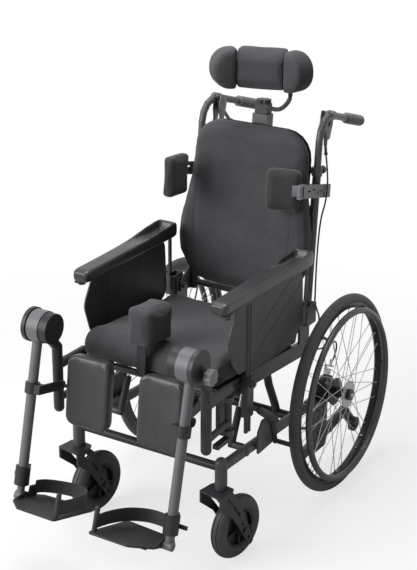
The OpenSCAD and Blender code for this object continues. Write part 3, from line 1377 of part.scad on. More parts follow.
module armrest_pad() {
  loft([for (s = pad_steps)
    let (c = arm_x * (0.83 + lookup(s, pad_mid_shares)), w = pad_half_w * lookup(s, pad_half_shares),
      rim = pad_rim * lookup(s, pad_rim_shares), dish = (pad_dish + pad_rim) * lookup(s, pad_dish_shares),
      e = pad_edge * lookup(s, pad_end_shares), z1 = arm_top_z + rim - e, z0 = arm_top_z - pad_t + e * 0.5, y = s * arm_pad_l - pad_front_y)
      [[c - w + pad_edge, y, z0], [c + w - pad_edge, y, z0], [c + w - pad_edge * 0.3, y, z0 + pad_edge * 0.3],
        [c + w, y, z0 + pad_edge], [c + w, y, z1 - pad_edge], [c + w - pad_edge * 0.3, y, z1 - pad_edge * 0.3],
        [c + w - pad_edge, y, z1], [c + w - pad_wall, y, z1 - dish * 0.1], [c + w - pad_wall * 1.5, y, z1 - dish * 0.85],
        [c + w - pad_wall * 2, y, z1 - dish], [c, y, z1 - dish * 0.96], [c - w + pad_wall * 2, y, z1 - dish],
        [c - w + pad_wall * 1.5, y, z1 - dish * 0.85], [c - w + pad_wall, y, z1 - dish * 0.1], [c - w + pad_edge, y, z1],
        [c - w + pad_edge * 0.3, y, z1 - pad_edge * 0.3], [c - w, y, z1 - pad_edge], [c - w, y, z0 + pad_edge],
        [c - w + pad_edge * 0.3, y, z0 + pad_edge * 0.3]]]);
}

module armrest_pad_left() {
  color(soft_black) from_axle() armrest_pad();
}

module armrest_pad_right() {
  color(soft_black) from_axle() other_side() armrest_pad();
}

module arm_panel() {
  pad_z = arm_top_z - pad_t;
  difference() {
    union() {
      for (s = [-1, 1]) bar_z(arm_post_z0, pad_z, arm_x, s * arm_rod_gap / 2 - arm_post_y, arm_rod_d);
      block([arm_x - arm_web_t / 2, -arm_post_y - arm_rod_gap / 2, arm_post_z0], [arm_x + arm_web_t / 2, -arm_post_y + arm_rod_gap / 2, pad_z]);
      plate_yz(arm_x - panel_t / 2, panel_t, rounded([
        [-arm_post_y, panel_z0], [-arm_post_y * 0.45, panel_z0], [-rear_post_y * 1.25, panel_z0 * 1.06],
        [-rear_post_y * 1.14, panel_z0 * 1.1], [-rear_post_y * 1.2, pad_z - pad_t], [-rear_post_y * 1.32, pad_z],
        [-arm_post_y, pad_z]], [0, pad_t, pad_t / 2, pad_t, pad_t / 4, 0, 0]));
      plate_yz(arm_x - panel_t / 2, panel_t, rounded([
        [-arm_post_y, wing_z0], [-arm_post_y * 1.12, wing_z0], [-arm_post_y * 1.19, wing_z0 * 1.07],
        [-arm_post_y * 1.25, wing_z0 * 1.22], [-arm_post_y * 1.14, pad_z], [-arm_post_y, pad_z]],
        [0, pad_t * 0.6, pad_t, pad_t * 1.4, pad_t / 3, 0]));
      // rim along the lower edge of the panel
      block([arm_x - arm_web_t / 2, -arm_post_y, panel_z0], [arm_x + arm_web_t / 2, -arm_post_y * 0.48, panel_z0 + arm_web_t]);
      // rear post and the bar under the pad
      block([arm_x - rear_post_t / 2, -rear_post_y, recline_z - socket_h * 0.3], [arm_x + rear_post_t / 2, -rear_post_y + rear_post_w, pad_z]);
      block([arm_x - arm_bar_w / 2, -pad_knob_y - pad_knob_d, pad_z - arm_bar_t / 2], [arm_x + arm_bar_w / 2, -rear_post_y + rear_post_w, pad_z]);
      bar_z(pad_z - arm_bar_t * 1.2, pad_z, arm_x, -pad_knob_y, pad_knob_d);
    }
    // slanting grooves in the outer face
    for (s = [0.3, 0.62])
      translate([arm_x + panel_t / 2, -arm_post_y * 0.9, panel_z0 + s * (pad_z - panel_z0) * 0.8]) rotate([26, 0, 0])
        block([-groove_d / 3, 0, -groove_d / 3], [groove_d, arm_post_y * 0.75, groove_d / 3]);
  }
}

module arm_panel_left() {
  color(frame_black) from_axle() arm_panel();
}

module arm_panel_right() {
  color(frame_black) from_axle() other_side() arm_panel();
}

// lateral supports
lateral_z = 362;
lateral_clamp_h = 36;
lateral_bar_h = 40;
lateral_bar_t = 4;
lateral_bar_x = cane_x + cane_r + 3 * run_fit;
lateral_rear_y = 113;
lateral_pin_y = 66;
lateral_pin_z = 381;
lateral_pin_d = 8;
lateral_pad_l = 97;
lateral_pad_h = 120;
lateral_pad_t = 34;
lateral_pad_x = 177;
lateral_boss_d = 18;
lateral_swing = 70;
screw_d = 9;

module lateral_arm() {
  back_plane() difference() {
    union() {
      block([cane_x - cane_d * 0.7, cane_y - cane_d * 0.6, lateral_z - lateral_clamp_h / 2],
        [lateral_bar_x + overrun, cane_y + cane_d * 0.75, lateral_z + lateral_clamp_h / 2]);
      plate_yz(lateral_bar_x, lateral_bar_t, rounded([
        [lateral_rear_y, lateral_z - lateral_bar_h * 0.7], [lateral_rear_y, lateral_z + lateral_bar_h * 0.3],
        [-lateral_pin_y + lateral_boss_d * 0.55, lateral_pin_z + lateral_bar_h / 2],
        [-lateral_pin_y + lateral_boss_d * 0.55, lateral_pin_z - lateral_bar_h / 2]],
        lateral_bar_t));
      for (y = [cane_y - cane_d * 0.55, cane_y, cane_y + cane_d * 0.55])
        bar_x(lateral_bar_x, lateral_bar_x + lateral_bar_t * 1.6, y, lateral_z, screw_d);
      block([lateral_bar_x - lateral_boss_d / 2, -lateral_pin_y - lateral_boss_d / 2, lateral_pin_z + lateral_bar_h / 2 - lateral_bar_t],
        [lateral_bar_x + lateral_bar_t, -lateral_pin_y + lateral_boss_d, lateral_pin_z + lateral_bar_h / 2]);
      block([lateral_bar_x - lateral_boss_d / 2, -lateral_pin_y - lateral_boss_d / 2, lateral_pin_z - lateral_bar_h / 2],
        [lateral_bar_x + lateral_bar_t, -lateral_pin_y + lateral_boss_d, lateral_pin_z - lateral_bar_h / 2 + lateral_bar_t]);
      bar_z(lateral_pin_z - lateral_bar_h / 2, lateral_pin_z + lateral_bar_h / 2, lateral_bar_x - lateral_pin_d / 2, -lateral_pin_y,
        lateral_pin_d);
    }
    bar_z(cane_low, cane_top, cane_x, cane_y, cane_d + 2 * run_fit);
    for (y = [-lateral_pin_y + lateral_boss_d * 2, -lateral_pin_y + lateral_boss_d * 3.6])
      plate_yz(lateral_bar_x - overrun, lateral_bar_t + 2 * overrun,
        slot_outline([y, lateral_pin_z - lateral_bar_t], [y + screw_d * 1.6, lateral_pin_z - lateral_bar_t * 1.5], screw_d * 0.6));
  }
}

module lateral_arm_left() {
  color(light_grey) from_axle() lateral_arm();
}

module lateral_arm_right() {
  color(light_grey) from_axle() other_side() lateral_arm();
}

// the pad swings about the pin at the front end of its arm
module lateral_pad(swing) {
  pin_x = lateral_bar_x - lateral_pin_d / 2;
  inner_h = lateral_bar_h - 2 * lateral_bar_t - 2 * side_gap;
  back_plane() translate([pin_x, -lateral_pin_y, lateral_pin_z]) rotate([0, 0, swing]) {
    difference() {
      union() {
        bar_z(-inner_h / 2, inner_h / 2, 0, 0, lateral_boss_d * 0.9);
        block([-(pin_x - lateral_pad_x) + lateral_pad_t / 4, -lateral_boss_d * 1.3, -inner_h / 2], [0, -lateral_boss_d / 4, inner_h / 2]);
      }
      bar_z(-inner_h, inner_h, 0, 0, lateral_pin_d + 2 * run_fit);
    }
    translate([lateral_pad_x - pin_x, -lateral_pad_l / 2 - lateral_boss_d * 0.2, -lateral_boss_d / 4])
      pillow([-lateral_pad_t / 2, -lateral_pad_l / 2, -lateral_pad_h / 2], [lateral_pad_t / 2, lateral_pad_l / 2, lateral_pad_h / 2],
        pommel_r * 0.6, pommel_r * 0.8);
  }
}

module lateral_pad_left() {
  color(soft_black) from_axle() lateral_pad(-lateral_swing);
}

module lateral_pad_right() {
  color(soft_black) from_axle() other_side() lateral_pad(0);
}

// headrest
head_post_z0 = 434;
head_post_top = 590;
swan_d = 14;
head_clamp_w = 40;
head_clamp_h = 32;
head_pad_t = 74;
head_wing_angle = 24;
head_wing_l = 66;
head_bolster_w = 144;
head_mid_y = 22;
head_ball_d = 20;
head_plate_t = 4;
head_gap = 3;
head_pin_y = 58;
head_end_r = 34;

module headrest_post() {
  color(frame_black) from_axle() {
    back_plane() {
      block([-head_bar / 2, head_bar_y - head_bar / 2, head_post_z0], [head_bar / 2, head_bar_y + head_bar / 2, head_post_top]);
      block([-head_clamp_w / 2, head_bar_y - head_clamp_h / 2, head_block_z1 + side_gap * 2],
        [head_clamp_w / 2, head_bar_y + head_clamp_h / 2, head_post_top]);
      translate([0, head_bar_y, head_post_top - overrun]) star_knob(star_d, knob_t + overrun);
    }
    swept(spline([for (q = head_swan) [0, q[0], q[1]]], 4), swan_d, 12);
    last = head_swan[len(head_swan) - 1];
    bar_x(-swan_d * 1.2, swan_d * 1.2, last[0], last[1], head_ball_d);
    bar_x(-head_pivot_w / 2 - head_plate_t * 1.5, head_pivot_w / 2 + head_plate_t * 1.5, last[0], last[1], head_pivot_d);
  }
}

head_swan = [[34, 1144], [132, 1113], [196, 1132], [184, 1182], [150, 1222], [62, 1262]];
head_pivot_w = 64;
head_pivot_d = 8;

function head_ring(w, z, t, e) = [for (q = rounded([[-w, e], [w, e], [w, t - e], [-w, t - e]], min(w, t) * 0.3, 6)) [q[0], q[1], z]];

module headrest_cushion() {
  last = head_swan[len(head_swan) - 1];
  half = head_h / 2;
  y0 = head_mid_y - head_pad_t / 2 - head_gap * 3;
  color(cover_grey) from_axle() {
    // middle bolster
    translate([0, y0, head_z - half])
      pillow([-head_bolster_w / 2, -head_pad_t / 2, 0], [head_bolster_w / 2, head_pad_t / 2 - head_gap, head_h], head_end_r / 2, head_end_r / 2);
    // side wings, turned forward
    wing_u = [cos(head_wing_angle), -sin(head_wing_angle)];
    wing_l = (head_w / 2 - head_bolster_w / 2) / wing_u[0];
    wing_in = head_bolster_w / 2 + seat_gap;
    both_sides() padded([[wing_in, y0 - head_pad_t * 0.56], [wing_in, y0 - head_pad_t * 0.56] + wing_u * wing_l,
      [wing_in, y0 + head_pad_t * 0.44] + wing_u * wing_l, [wing_in, y0 + head_pad_t * 0.44]], [wing_in, y0] + wing_u * wing_l / 2,
      [head_end_r / 4, head_end_r, head_end_r, head_end_r / 4], head_end_r / 2, head_z - half, head_z + half);
    // plate behind the pads with the lugs of the tilt pivot
    block([-head_bolster_w * 0.4, y0 + head_pad_t / 2 - head_gap * 2, last[1] - half * 0.6],
      [head_bolster_w * 0.4, y0 + head_pad_t / 2 + head_plate_t, last[1] + half * 0.6]);
    for (s = [-1, 1]) difference() {
      union() {
        bar_x(s * head_pivot_w / 2 - head_plate_t, s * head_pivot_w / 2 + head_plate_t, last[0], last[1], head_pivot_d * 2);
        block([s * head_pivot_w / 2 - head_plate_t, y0 + head_pad_t / 2, last[1] - head_pivot_d],
          [s * head_pivot_w / 2 + head_plate_t, last[0], last[1] + head_pivot_d]);
      }
      bar_x(s * head_pivot_w / 2 - head_plate_t * 2, s * head_pivot_w / 2 + head_plate_t * 2, last[0], last[1], head_pivot_d + 2 * run_fit);
    }
  }
}

// push handles and brake levers
handle_in_z = 300;
handle_bend_z = 590;
handle_end = [180, 353, 523];
handle_bend_r = 65;
lever_angle_left = 82;
lever_angle_right = 36;
lever_l = 95;
lever_w = 16;
lever_t = 6;
lever_share = 0.24;
lever_drop = 24;
lever_clamp_l = 30;
lever_pin_d = 6;
ball_d = 12;
grip_ribs = 12;
grip_groove = 1.2;

handle_bend = [cane_x, cane_y, handle_bend_z];
grip_dir = unit(handle_end - handle_bend);
grip_start = handle_end - grip_dir * grip_l;
lever_at = handle_bend + grip_dir * (norm(handle_end - handle_bend) * lever_share);
lever_pivot = lever_at + [-lever_w * 0.8, 0, -lever_drop];

// how far the chair reaches ahead of and behind the rear axle
back_level = [0, cos(back_lean), sin(back_lean)];
front_reach = knee_y + leg_len * sin(leg_angle) + foot_front * cos(foot_pitch) + foot_t * sin(foot_pitch);
rear_reach = handle_end * back_level - recline_y + grip_d * 0.4 * sqrt(1 - pow(grip_dir * back_level, 2));
axle_y = (front_reach - rear_reach) / 2;

module push_handle() {
  back_plane() {
    jointed(bend_points([cane_x, cane_y, handle_in_z], handle_bend, handle_end - grip_dir * overrun * 3, handle_bend_r),
      handle_tube_d, joint_share);
    // clamp and pivot of the brake lever
    rod(lever_at - grip_dir * lever_clamp_l / 2, lever_at + grip_dir * lever_clamp_l / 2, handle_tube_d + lever_t);
    block(lever_pivot + [lever_w / 2 + side_gap, -lever_w / 2, -lever_w / 2],
      [lever_at[0] + lever_t / 2, lever_pivot[1] + lever_w / 2, lever_at[2]]);
    bar_x(lever_pivot[0] - lever_w / 2 - lever_t / 2, lever_pivot[0] + lever_w / 2 + side_gap * 2, lever_pivot[1], lever_pivot[2], lever_pin_d);
    bar_x(lever_pivot[0] - lever_w / 2 - lever_t / 2, lever_pivot[0] - lever_w / 2 - side_gap, lever_pivot[1], lever_pivot[2], lever_pin_d * 1.7);
  }
}

module push_handle_left() {
  color(frame_grey) from_axle() push_handle();
}

module push_handle_right() {
  color(frame_grey) from_axle() other_side() push_handle();
}

module push_grip() {
  v = handle_end - grip_start;
  back_plane() translate(grip_start) rotate([0, acos(v[2] / norm(v)), atan2(v[1], v[0])]) difference() {
    rotate_extrude() polygon(concat([[0, 0]], [for (i = [0 : grip_ribs - 1]) let (z = grip_l * (0.08 + 0.84 * i / grip_ribs), p = grip_l * 0.84 / grip_ribs)
      each [[grip_d / 2, z], [grip_d / 2, z + p * 0.6], [grip_d / 2 - grip_groove, z + p * 0.7], [grip_d / 2 - grip_groove, z + p * 0.95]]],
      [[grip_d / 2, grip_l * 0.93], [grip_d * 0.48, grip_l * 0.98], [grip_d * 0.4, grip_l], [0, grip_l]]));
    translate([0, 0, -overrun]) cylinder(d = handle_tube_d + 2 * run_fit, h = norm(v) - overrun);
  }
}

module push_grip_left() {
  color(soft_black) from_axle() push_grip();
}

module push_grip_right() {
  color(soft_black) from_axle() other_side() push_grip();
}

// lever seen at an angle below the horizontal, pointing to the rear
module brake_lever(angle) {
  back_plane() translate(lever_pivot) rotate([-angle, 0, 0]) difference() {
    union() {
      bar_x(-lever_w / 2, lever_w / 2, 0, 0, lever_w);
      rod([0, lever_w / 3, 0], [0, lever_l * 0.7, -lever_l * 0.06], lever_w * 0.7);
      rod([0, lever_l * 0.7, -lever_l * 0.06], [0, lever_l, -lever_l * 0.02], lever_w * 0.55);
      translate([0, lever_l, -lever_l * 0.02]) sphere(d = ball_d);
      translate([0, lever_l * 0.7, -lever_l * 0.06]) sphere(d = lever_w * 0.7);
    }
    bar_x(-lever_w, lever_w, 0, 0, lever_pin_d + 2 * run_fit);
  }
}

module brake_lever_left() {
  color(frame_black) from_axle() brake_lever(lever_angle_left);
}

module brake_lever_right() {
  color(frame_black) from_axle() other_side() brake_lever(lever_angle_right);
}

// brake cables, clipped along the canes
cable_d = 5;
cable_route = [[211, 74, 16], [213, 66, 70], [213, 62, 140], [213, 62, 220], [214, 68, 280], [218, 80, 330],
  [218, 84, 380], [206, 96, 430], [192, 100, 490], [187, 102, 520]];

module brake_cables() {
  color(soft_black) from_axle() both_sides() back_plane() swept(spline(cable_route, 4), cable_d);
}

// parking brake levers
shoe_d = 14;
shoe_at = [-335, 282];
shoe_x1 = 318;
park_grip_d = 22;
park_grip_from = [-366, 365];
park_grip_to = [-454, 432];
park_grip_x = 281;

module parking_lever() {
  x = clamp_x + clamp_plate_t + side_gap;
  difference() {
    union() {
      bar_x(x, x + parking_t, parking_pivot[0], parking_pivot[1], parking_pin_d * 2.2);
      plate_yz(x, parking_t, slot_outline(shoe_at, parking_pivot, shoe_d * 1.3));
      plate_yz(x, parking_t, slot_outline(parking_pivot, park_grip_from, shoe_d * 1.3));
      bar_x(x, shoe_x1, shoe_at[0], shoe_at[1], shoe_d);
      rod([x + parking_t / 2, parking_pivot[0], parking_pivot[1]] + [parking_t / 2, -parking_pin_d * 1.2, parking_pin_d * 0.8],
        [park_grip_x, park_grip_from[0], park_grip_from[1]], parking_pin_d);
      capsule([park_grip_x, park_grip_from[0], park_grip_from[1]], [park_grip_x, park_grip_to[0], park_grip_to[1]], park_grip_d);
    }
    bar_x(x - overrun - parking_t, x + parking_t + overrun, parking_pivot[0], parking_pivot[1], parking_pin_d + 2 * run_fit);
    bar_x(x - shoe_d * 2, x, parking_pivot[0], parking_pivot[1], park_grip_d * 2);
  }
}

module parking_lever_left() {
  color(frame_black) from_axle() parking_lever();
}

module parking_lever_right() {
  color(frame_black) from_axle() other_side() parking_lever();
}

// anti-tip arms
anti_in_l = 120;
anti_out_end = [212, 132];
anti_wheel_at = [289, 50];
anti_wheel_d = 48;
anti_wheel_w = 18;
anti_pin_d = 8;
anti_plate_t = 5;
anti_knob_d = 20;

module anti_tip() {
  q = [anti_x, anti_out_end[0], anti_out_end[1]];
  wheel_c = [anti_wheel_at[0], anti_wheel_at[1]];
  x0 = anti_x - anti_wheel_w / 2 - side_gap * 2 - anti_plate_t;
  rod(anti_end - anti_dir * anti_in_l, anti_end + anti_dir * anti_wall * 2, anti_bore_d - 2 * run_fit);
  jointed([anti_end + anti_dir * side_gap, q,
    [anti_x, wheel_c[0] - anti_wheel_d * 0.72, wheel_c[1] + anti_wheel_d * 0.75]], anti_tube_d, 1.1);
  for (x = [x0, anti_x + anti_wheel_w / 2 + side_gap * 2])
    plate_yz(x, anti_plate_t, slot_outline([wheel_c[0] - anti_wheel_d * 0.72, wheel_c[1] + anti_wheel_d * 0.75], wheel_c, anti_wheel_w));
  bar_x(x0 - anti_plate_t / 2, anti_x + anti_wheel_w / 2 + side_gap * 2 + anti_plate_t * 1.5, wheel_c[0], wheel_c[1], anti_pin_d);
  bar_x(anti_x + anti_wheel_w / 2, anti_x + anti_wheel_w + anti_knob_d / 2, wheel_c[0] - anti_wheel_d * 0.72,
    wheel_c[1] + anti_wheel_d * 0.72, anti_knob_d);
}

module anti_tip_left() {
  color(frame_black) from_axle() anti_tip();
}

module anti_tip_right() {
  color(frame_black) from_axle() other_side() anti_tip();
}

module anti_tip_wheel() {
  translate([anti_x, anti_wheel_at[0], anti_wheel_at[1]]) rotate([0, 90, 0]) difference() {
    rotate_extrude() polygon([[0, -anti_wheel_w / 2], [anti_wheel_d * 0.47, -anti_wheel_w / 2],
      [anti_wheel_d / 2, -anti_wheel_w * 0.4], [anti_wheel_d / 2, anti_wheel_w * 0.4], [anti_wheel_d * 0.47, anti_wheel_w / 2],
      [0, anti_wheel_w / 2]]);
    translate([0, 0, -anti_wheel_w]) cylinder(d = anti_pin_d + 2 * run_fit, h = 2 * anti_wheel_w);
  }
}

module anti_tip_wheel_left() {
  color(tyre_grey) from_axle() anti_tip_wheel();
}

module anti_tip_wheel_right() {
  color(tyre_grey) from_axle() other_side() anti_tip_wheel();
}

side_frames();
frame_tubes();
axle_plates();
wheel_axles();
tilt_cylinders();
seat_frame();
seat_pan();
seat_cushion();
recline_cylinder();
pommel();
back_frame();
back_shell();
back_cushion();
brake_cables();
headrest_post();
headrest_cushion();
tyre_left();
tyre_right();
wheel_rim_left();
wheel_rim_right();
pushrim_left();
pushrim_right();
caster_fork_left();
caster_fork_right();
caster_wheel_left();
caster_wheel_right();
hanger_left();
hanger_right();
leg_tube_left();
leg_tube_right();
calf_pad_left();
calf_pad_right();
foot_post_left();
foot_post_right();
footplate_left();
footplate_right();
heel_strap_left();
heel_strap_right();
armrest_pad_left();
armrest_pad_right();
arm_panel_left();
arm_panel_right();
lateral_pad_left();
lateral_pad_right();
lateral_arm_left();
lateral_arm_right();
push_handle_left();
push_handle_right();
push_grip_left();
push_grip_right();
brake_lever_left();
brake_lever_right();
parking_lever_left();
parking_lever_right();
anti_tip_left();
anti_tip_right();
anti_tip_wheel_left();
anti_tip_wheel_right();
tilt_rods();
recline_rod();
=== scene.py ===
import math

import bmesh
import bpy
from mathutils import Matrix, Vector


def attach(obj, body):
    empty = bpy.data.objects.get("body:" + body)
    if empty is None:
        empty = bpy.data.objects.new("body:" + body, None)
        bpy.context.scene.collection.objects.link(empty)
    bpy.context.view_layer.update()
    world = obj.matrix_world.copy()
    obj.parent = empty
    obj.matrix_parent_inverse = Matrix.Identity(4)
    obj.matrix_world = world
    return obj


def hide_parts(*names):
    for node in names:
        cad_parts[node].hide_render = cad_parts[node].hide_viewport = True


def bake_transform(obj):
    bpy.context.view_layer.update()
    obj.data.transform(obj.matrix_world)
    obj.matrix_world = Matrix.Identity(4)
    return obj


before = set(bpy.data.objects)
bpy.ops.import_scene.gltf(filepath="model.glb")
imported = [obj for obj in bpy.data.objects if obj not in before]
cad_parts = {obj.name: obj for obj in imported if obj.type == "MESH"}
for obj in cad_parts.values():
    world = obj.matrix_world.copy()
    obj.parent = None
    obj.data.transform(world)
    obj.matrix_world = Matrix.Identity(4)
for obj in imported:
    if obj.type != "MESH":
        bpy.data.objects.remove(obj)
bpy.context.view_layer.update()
scene = bpy.context.scene

# Camera of the photograph: a long lens in front of the sitter's left knee, a little above the head.
# It is a lens of about 92 mm from 4.4 m away, turned a quarter of a degree.
lens = bpy.data.cameras.new("camera")
lens.lens = 91.86
lens.sensor_width = 36
camera = bpy.data.objects.new("camera", lens)
scene.collection.objects.link(camera)
looks_at = Vector((-0.1076, 0.2258, 0.6))
stands_at = Vector((2.033, -3.272, 2.247))
backwards = (stands_at - looks_at).normalized()
sideways = Vector((0, 0, 1)).cross(backwards).normalized()
upwards = backwards.cross(sideways)
roll = math.radians(0.27)
turned = Matrix((math.cos(roll) * sideways + math.sin(roll) * upwards,
                 math.cos(roll) * upwards - math.sin(roll) * sideways, backwards)).transposed()
camera.matrix_world = Matrix.Translation(stands_at) @ turned.to_4x4()
scene.camera = camera
scene.view_settings.view_transform = "Standard"


def add(tree, kind, inputs=None, **settings):
    """A node of that kind, with its settings and with its inputs set or linked."""
    node = tree.nodes.new(kind)
    for name, value in settings.items():
        setattr(node, name, value)
    for key, value in (inputs or {}).items():
        if isinstance(value, bpy.types.NodeSocket):
            tree.links.new(value, node.inputs[key])
        else:
            node.inputs[key].default_value = value
    return node


def linear(code):
    """Linear colour of an sRGB hex code."""
    parts = [int(code[i:i + 2], 16) / 255 for i in (1, 3, 5)]
    return [p / 12.92 if p <= 0.04045 else ((p + 0.055) / 1.055) ** 2.4 for p in parts] + [1]


# Studio: a pale floor that fades into a white surround, one large soft lamp ahead of the sitter's right
# shoulder, a smaller one above, and a weak even fill. The floor keeps the chair's soft shadow.
world = bpy.data.worlds.new("studio")
scene.world = world
world.use_nodes = True
sky = world.node_tree
sky.nodes.clear()
ray = add(sky, "ShaderNodeLightPath")
seen = add(sky, "ShaderNodeMath", {0: ray.outputs["Is Camera Ray"], 1: ray.outputs["Is Glossy Ray"]},
           operation="MAXIMUM")
seen = add(sky, "ShaderNodeMath", {0: seen.outputs[0], 1: ray.outputs["Is Transmission Ray"]},
           operation="MAXIMUM")
even = add(sky, "ShaderNodeBackground", {"Color": linear("#ffffff"), "Strength": 0.2})
white = add(sky, "ShaderNodeBackground", {"Color": linear("#ffffff"), "Strength": 1.0})
both = add(sky, "ShaderNodeMixShader", {0: seen.outputs[0], 1: even.outputs[0], 2: white.outputs[0]})
add(sky, "ShaderNodeOutputWorld", {"Surface": both.outputs[0]})

for name, place, size, watts in (("front_softbox", (-2.0, -3.2, 2.3), 3.4, 215),
                                 ("top_softbox", (-0.2, 0.2, 3.3), 1.8, 70)):
    lamp = bpy.data.lights.new(name, "AREA")
    lamp.shape = "DISK"
    lamp.size = size
    lamp.energy = watts
    holder = bpy.data.objects.new(name, lamp)
    scene.collection.objects.link(holder)
    holder.location = place
    holder.rotation_mode = "QUATERNION"
    holder.rotation_quaternion = (Vector(place) - Vector((0, 0.1, 0.6))).to_track_quat("Z", "Y")

floor_mesh = bmesh.new()
bmesh.ops.create_circle(floor_mesh, cap_ends=True, segments=96, radius=3.2)
floor_data = bpy.data.meshes.new("floor")
floor_mesh.to_mesh(floor_data)
floor = bpy.data.objects.new("floor", floor_data)
scene.collection.objects.link(floor)
paper = bpy.data.materials.new("studio_paper")
paper.use_nodes = True
tree = paper.node_tree
tree.nodes.clear()
ray = add(tree, "ShaderNodeLightPath")
where = add(tree, "ShaderNodeTexCoord").outputs["Object"]
far = add(tree, "ShaderNodeVectorMath", {0: where}, operation="LENGTH")
fade = add(tree, "ShaderNodeMapRange", {"Value": far.outputs["Value"], "From Min": 0.9, "From Max": 2.2},
           interpolation_type="SMOOTHSTEP")
matt = add(tree, "ShaderNodeBsdfDiffuse", {"Color": linear("#e6e6e4")})
glow = add(tree, "ShaderNodeEmission", {"Color": linear("#ffffff"), "Strength": 1.0})
seen = add(tree, "ShaderNodeMath", {0: ray.outputs["Is Camera Ray"], 1: 0.72}, operation="MULTIPLY")
pale = add(tree, "ShaderNodeMixShader", {0: seen.outputs[0], 1: matt.outputs[0], 2: glow.outputs[0]})
clear = add(tree, "ShaderNodeBsdfTransparent")
faded = add(tree, "ShaderNodeMixShader", {0: fade.outputs[0], 1: pale.outputs[0], 2: clear.outputs[0]})
add(tree, "ShaderNodeOutputMaterial", {"Surface": faded.outputs[0]})
floor_data.materials.append(paper)

# Local frames of the chair, in metres from its middle on the floor: the seat slopes back 5 degrees, the
# back leans 5 degrees, the legs slope forward 13.75 degrees, the wheels lean in 2 degrees at the top.
AXLE_Y = 0.320366
SEAT = Matrix.Translation((0, AXLE_Y, 0.477)) @ Matrix.Rotation(math.radians(-5), 4, "X")
BACK = Matrix.Translation((0, AXLE_Y - 0.082, 0.572)) @ Matrix.Rotation(math.radians(-5), 4, "X")
LEG = Matrix.Translation((0, AXLE_Y - 0.748, 0.675)) @ Matrix.Rotation(math.radians(-13.75), 4, "X")
OTHER_SIDE = Matrix.Scale(-1, 4, (1, 0, 0))


def finish(name, code, roughness, metallic=0.0):
    """A new material: itself, its node tree, its shader and the object's coordinates."""
    made = bpy.data.materials.new(name)
    made.use_nodes = True
    tree = made.node_tree
    shader = tree.nodes["Principled BSDF"]
    shader.inputs["Base Color"].default_value = linear(code)
    shader.inputs["Roughness"].default_value = roughness
    shader.inputs["Metallic"].default_value = metallic
    shader.inputs["Specular IOR Level"].default_value = 0.3
    return made, tree, shader, add(tree, "ShaderNodeTexCoord").outputs["Object"]


def grain(tree, shader, where, light, dark, size_mm, depth_mm, tone_mm=90):
    """Noise of grain size_mm and depth_mm raises the surface, and slow mottling runs from dark to light."""
    fine = add(tree, "ShaderNodeTexNoise",
               {"Vector": where, "Scale": 1000 / size_mm, "Detail": 3.0, "Roughness": 0.6})
    slow = add(tree, "ShaderNodeTexNoise", {"Vector": where, "Scale": 1000 / tone_mm, "Detail": 2.0})
    tone = add(tree, "ShaderNodeMapRange", {"Value": slow.outputs["Fac"], "From Min": 0.3, "From Max": 0.7})
    mixed = add(tree, "ShaderNodeMix", {0: tone.outputs[0], 6: linear(dark), 7: linear(light)},
                data_type="RGBA")
    tree.links.new(mixed.outputs[2], shader.inputs["Base Color"])
    raised = add(tree, "ShaderNodeBump",
                 {"Height": fine.outputs["Fac"], "Distance": depth_mm / 1000, "Strength": 1.0})
    tree.links.new(raised.outputs["Normal"], shader.inputs["Normal"])
    return fine, mixed, raised


def piece(name, mesh, material, body, smooth=35, at=None):
    """Makes the bmesh a piece of that material that moves with the body."""
    if at is not None:
        bmesh.ops.transform(mesh, matrix=at, verts=mesh.verts)
    bmesh.ops.remove_doubles(mesh, verts=mesh.verts, dist=1e-6)
    bmesh.ops.recalc_face_normals(mesh, faces=mesh.faces)
    data = bpy.data.meshes.new(name)
    mesh.to_mesh(data)
    mesh.free()
    data.materials.append(material)
    made = bpy.data.objects.new(name, data)
    scene.collection.objects.link(made)
    data.shade_smooth()
    if smooth:
        data.set_sharp_from_angle(angle=math.radians(smooth))
    if body:
        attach(made, body)
    return made


# Brake cables: a 5 mm outer sheath of black PVC from each brake lever down the rear of the back cane,
# a short loop past the hinge to the end of the seat rail, and a slack loop to the drum brake.
pvc, tree, shader, where = finish("black_pvc_cable", "#1d1d1f", 0.42)
grain(tree, shader, where, "#242426", "#19191b", 1.2, 0.04)


def smooth_line(points, steps):
    """A Catmull-Rom line through the points."""
    line = []
    for i in range(len(points) - 1):
        a, b, c, d = (Vector(points[min(max(j, 0), len(points) - 1)]) for j in (i - 1, i, i + 1, i + 2))
        for k in range(steps):
            t = k / steps
            line.append(b + (c - a) * t / 2 + (2 * a - 5 * b + 4 * c - d) * t * t / 2
                        + (3 * b - a - 3 * c + d) * t ** 3 / 2)
    return line + [Vector(points[-1])]


def sheath(line, diameter, sides=10):
    """A closed tube along the line, its rings carried along without twist."""
    mesh = bmesh.new()
    ahead = [(line[min(i + 1, len(line) - 1)] - line[max(i - 1, 0)]).normalized() for i in range(len(line))]
    out = ahead[0].orthogonal().normalized()
    before = None
    for point, way in zip(line, ahead):
        out = (out - way * out.dot(way)).normalized()
        frame_of = Matrix((out, way.cross(out), way)).transposed().to_4x4()
        ring = bmesh.ops.create_circle(mesh, segments=sides, radius=diameter / 2,
                                       matrix=Matrix.Translation(point) @ frame_of)["verts"]
        edges = list({e for v in ring for e in v.link_edges})
        if before is None:
            bmesh.ops.contextual_create(mesh, geom=ring)
        else:
            bmesh.ops.bridge_loops(mesh, edges=before + edges)
        before = edges
    bmesh.ops.contextual_create(mesh, geom=ring)
    return mesh


CABLE_D = 0.005
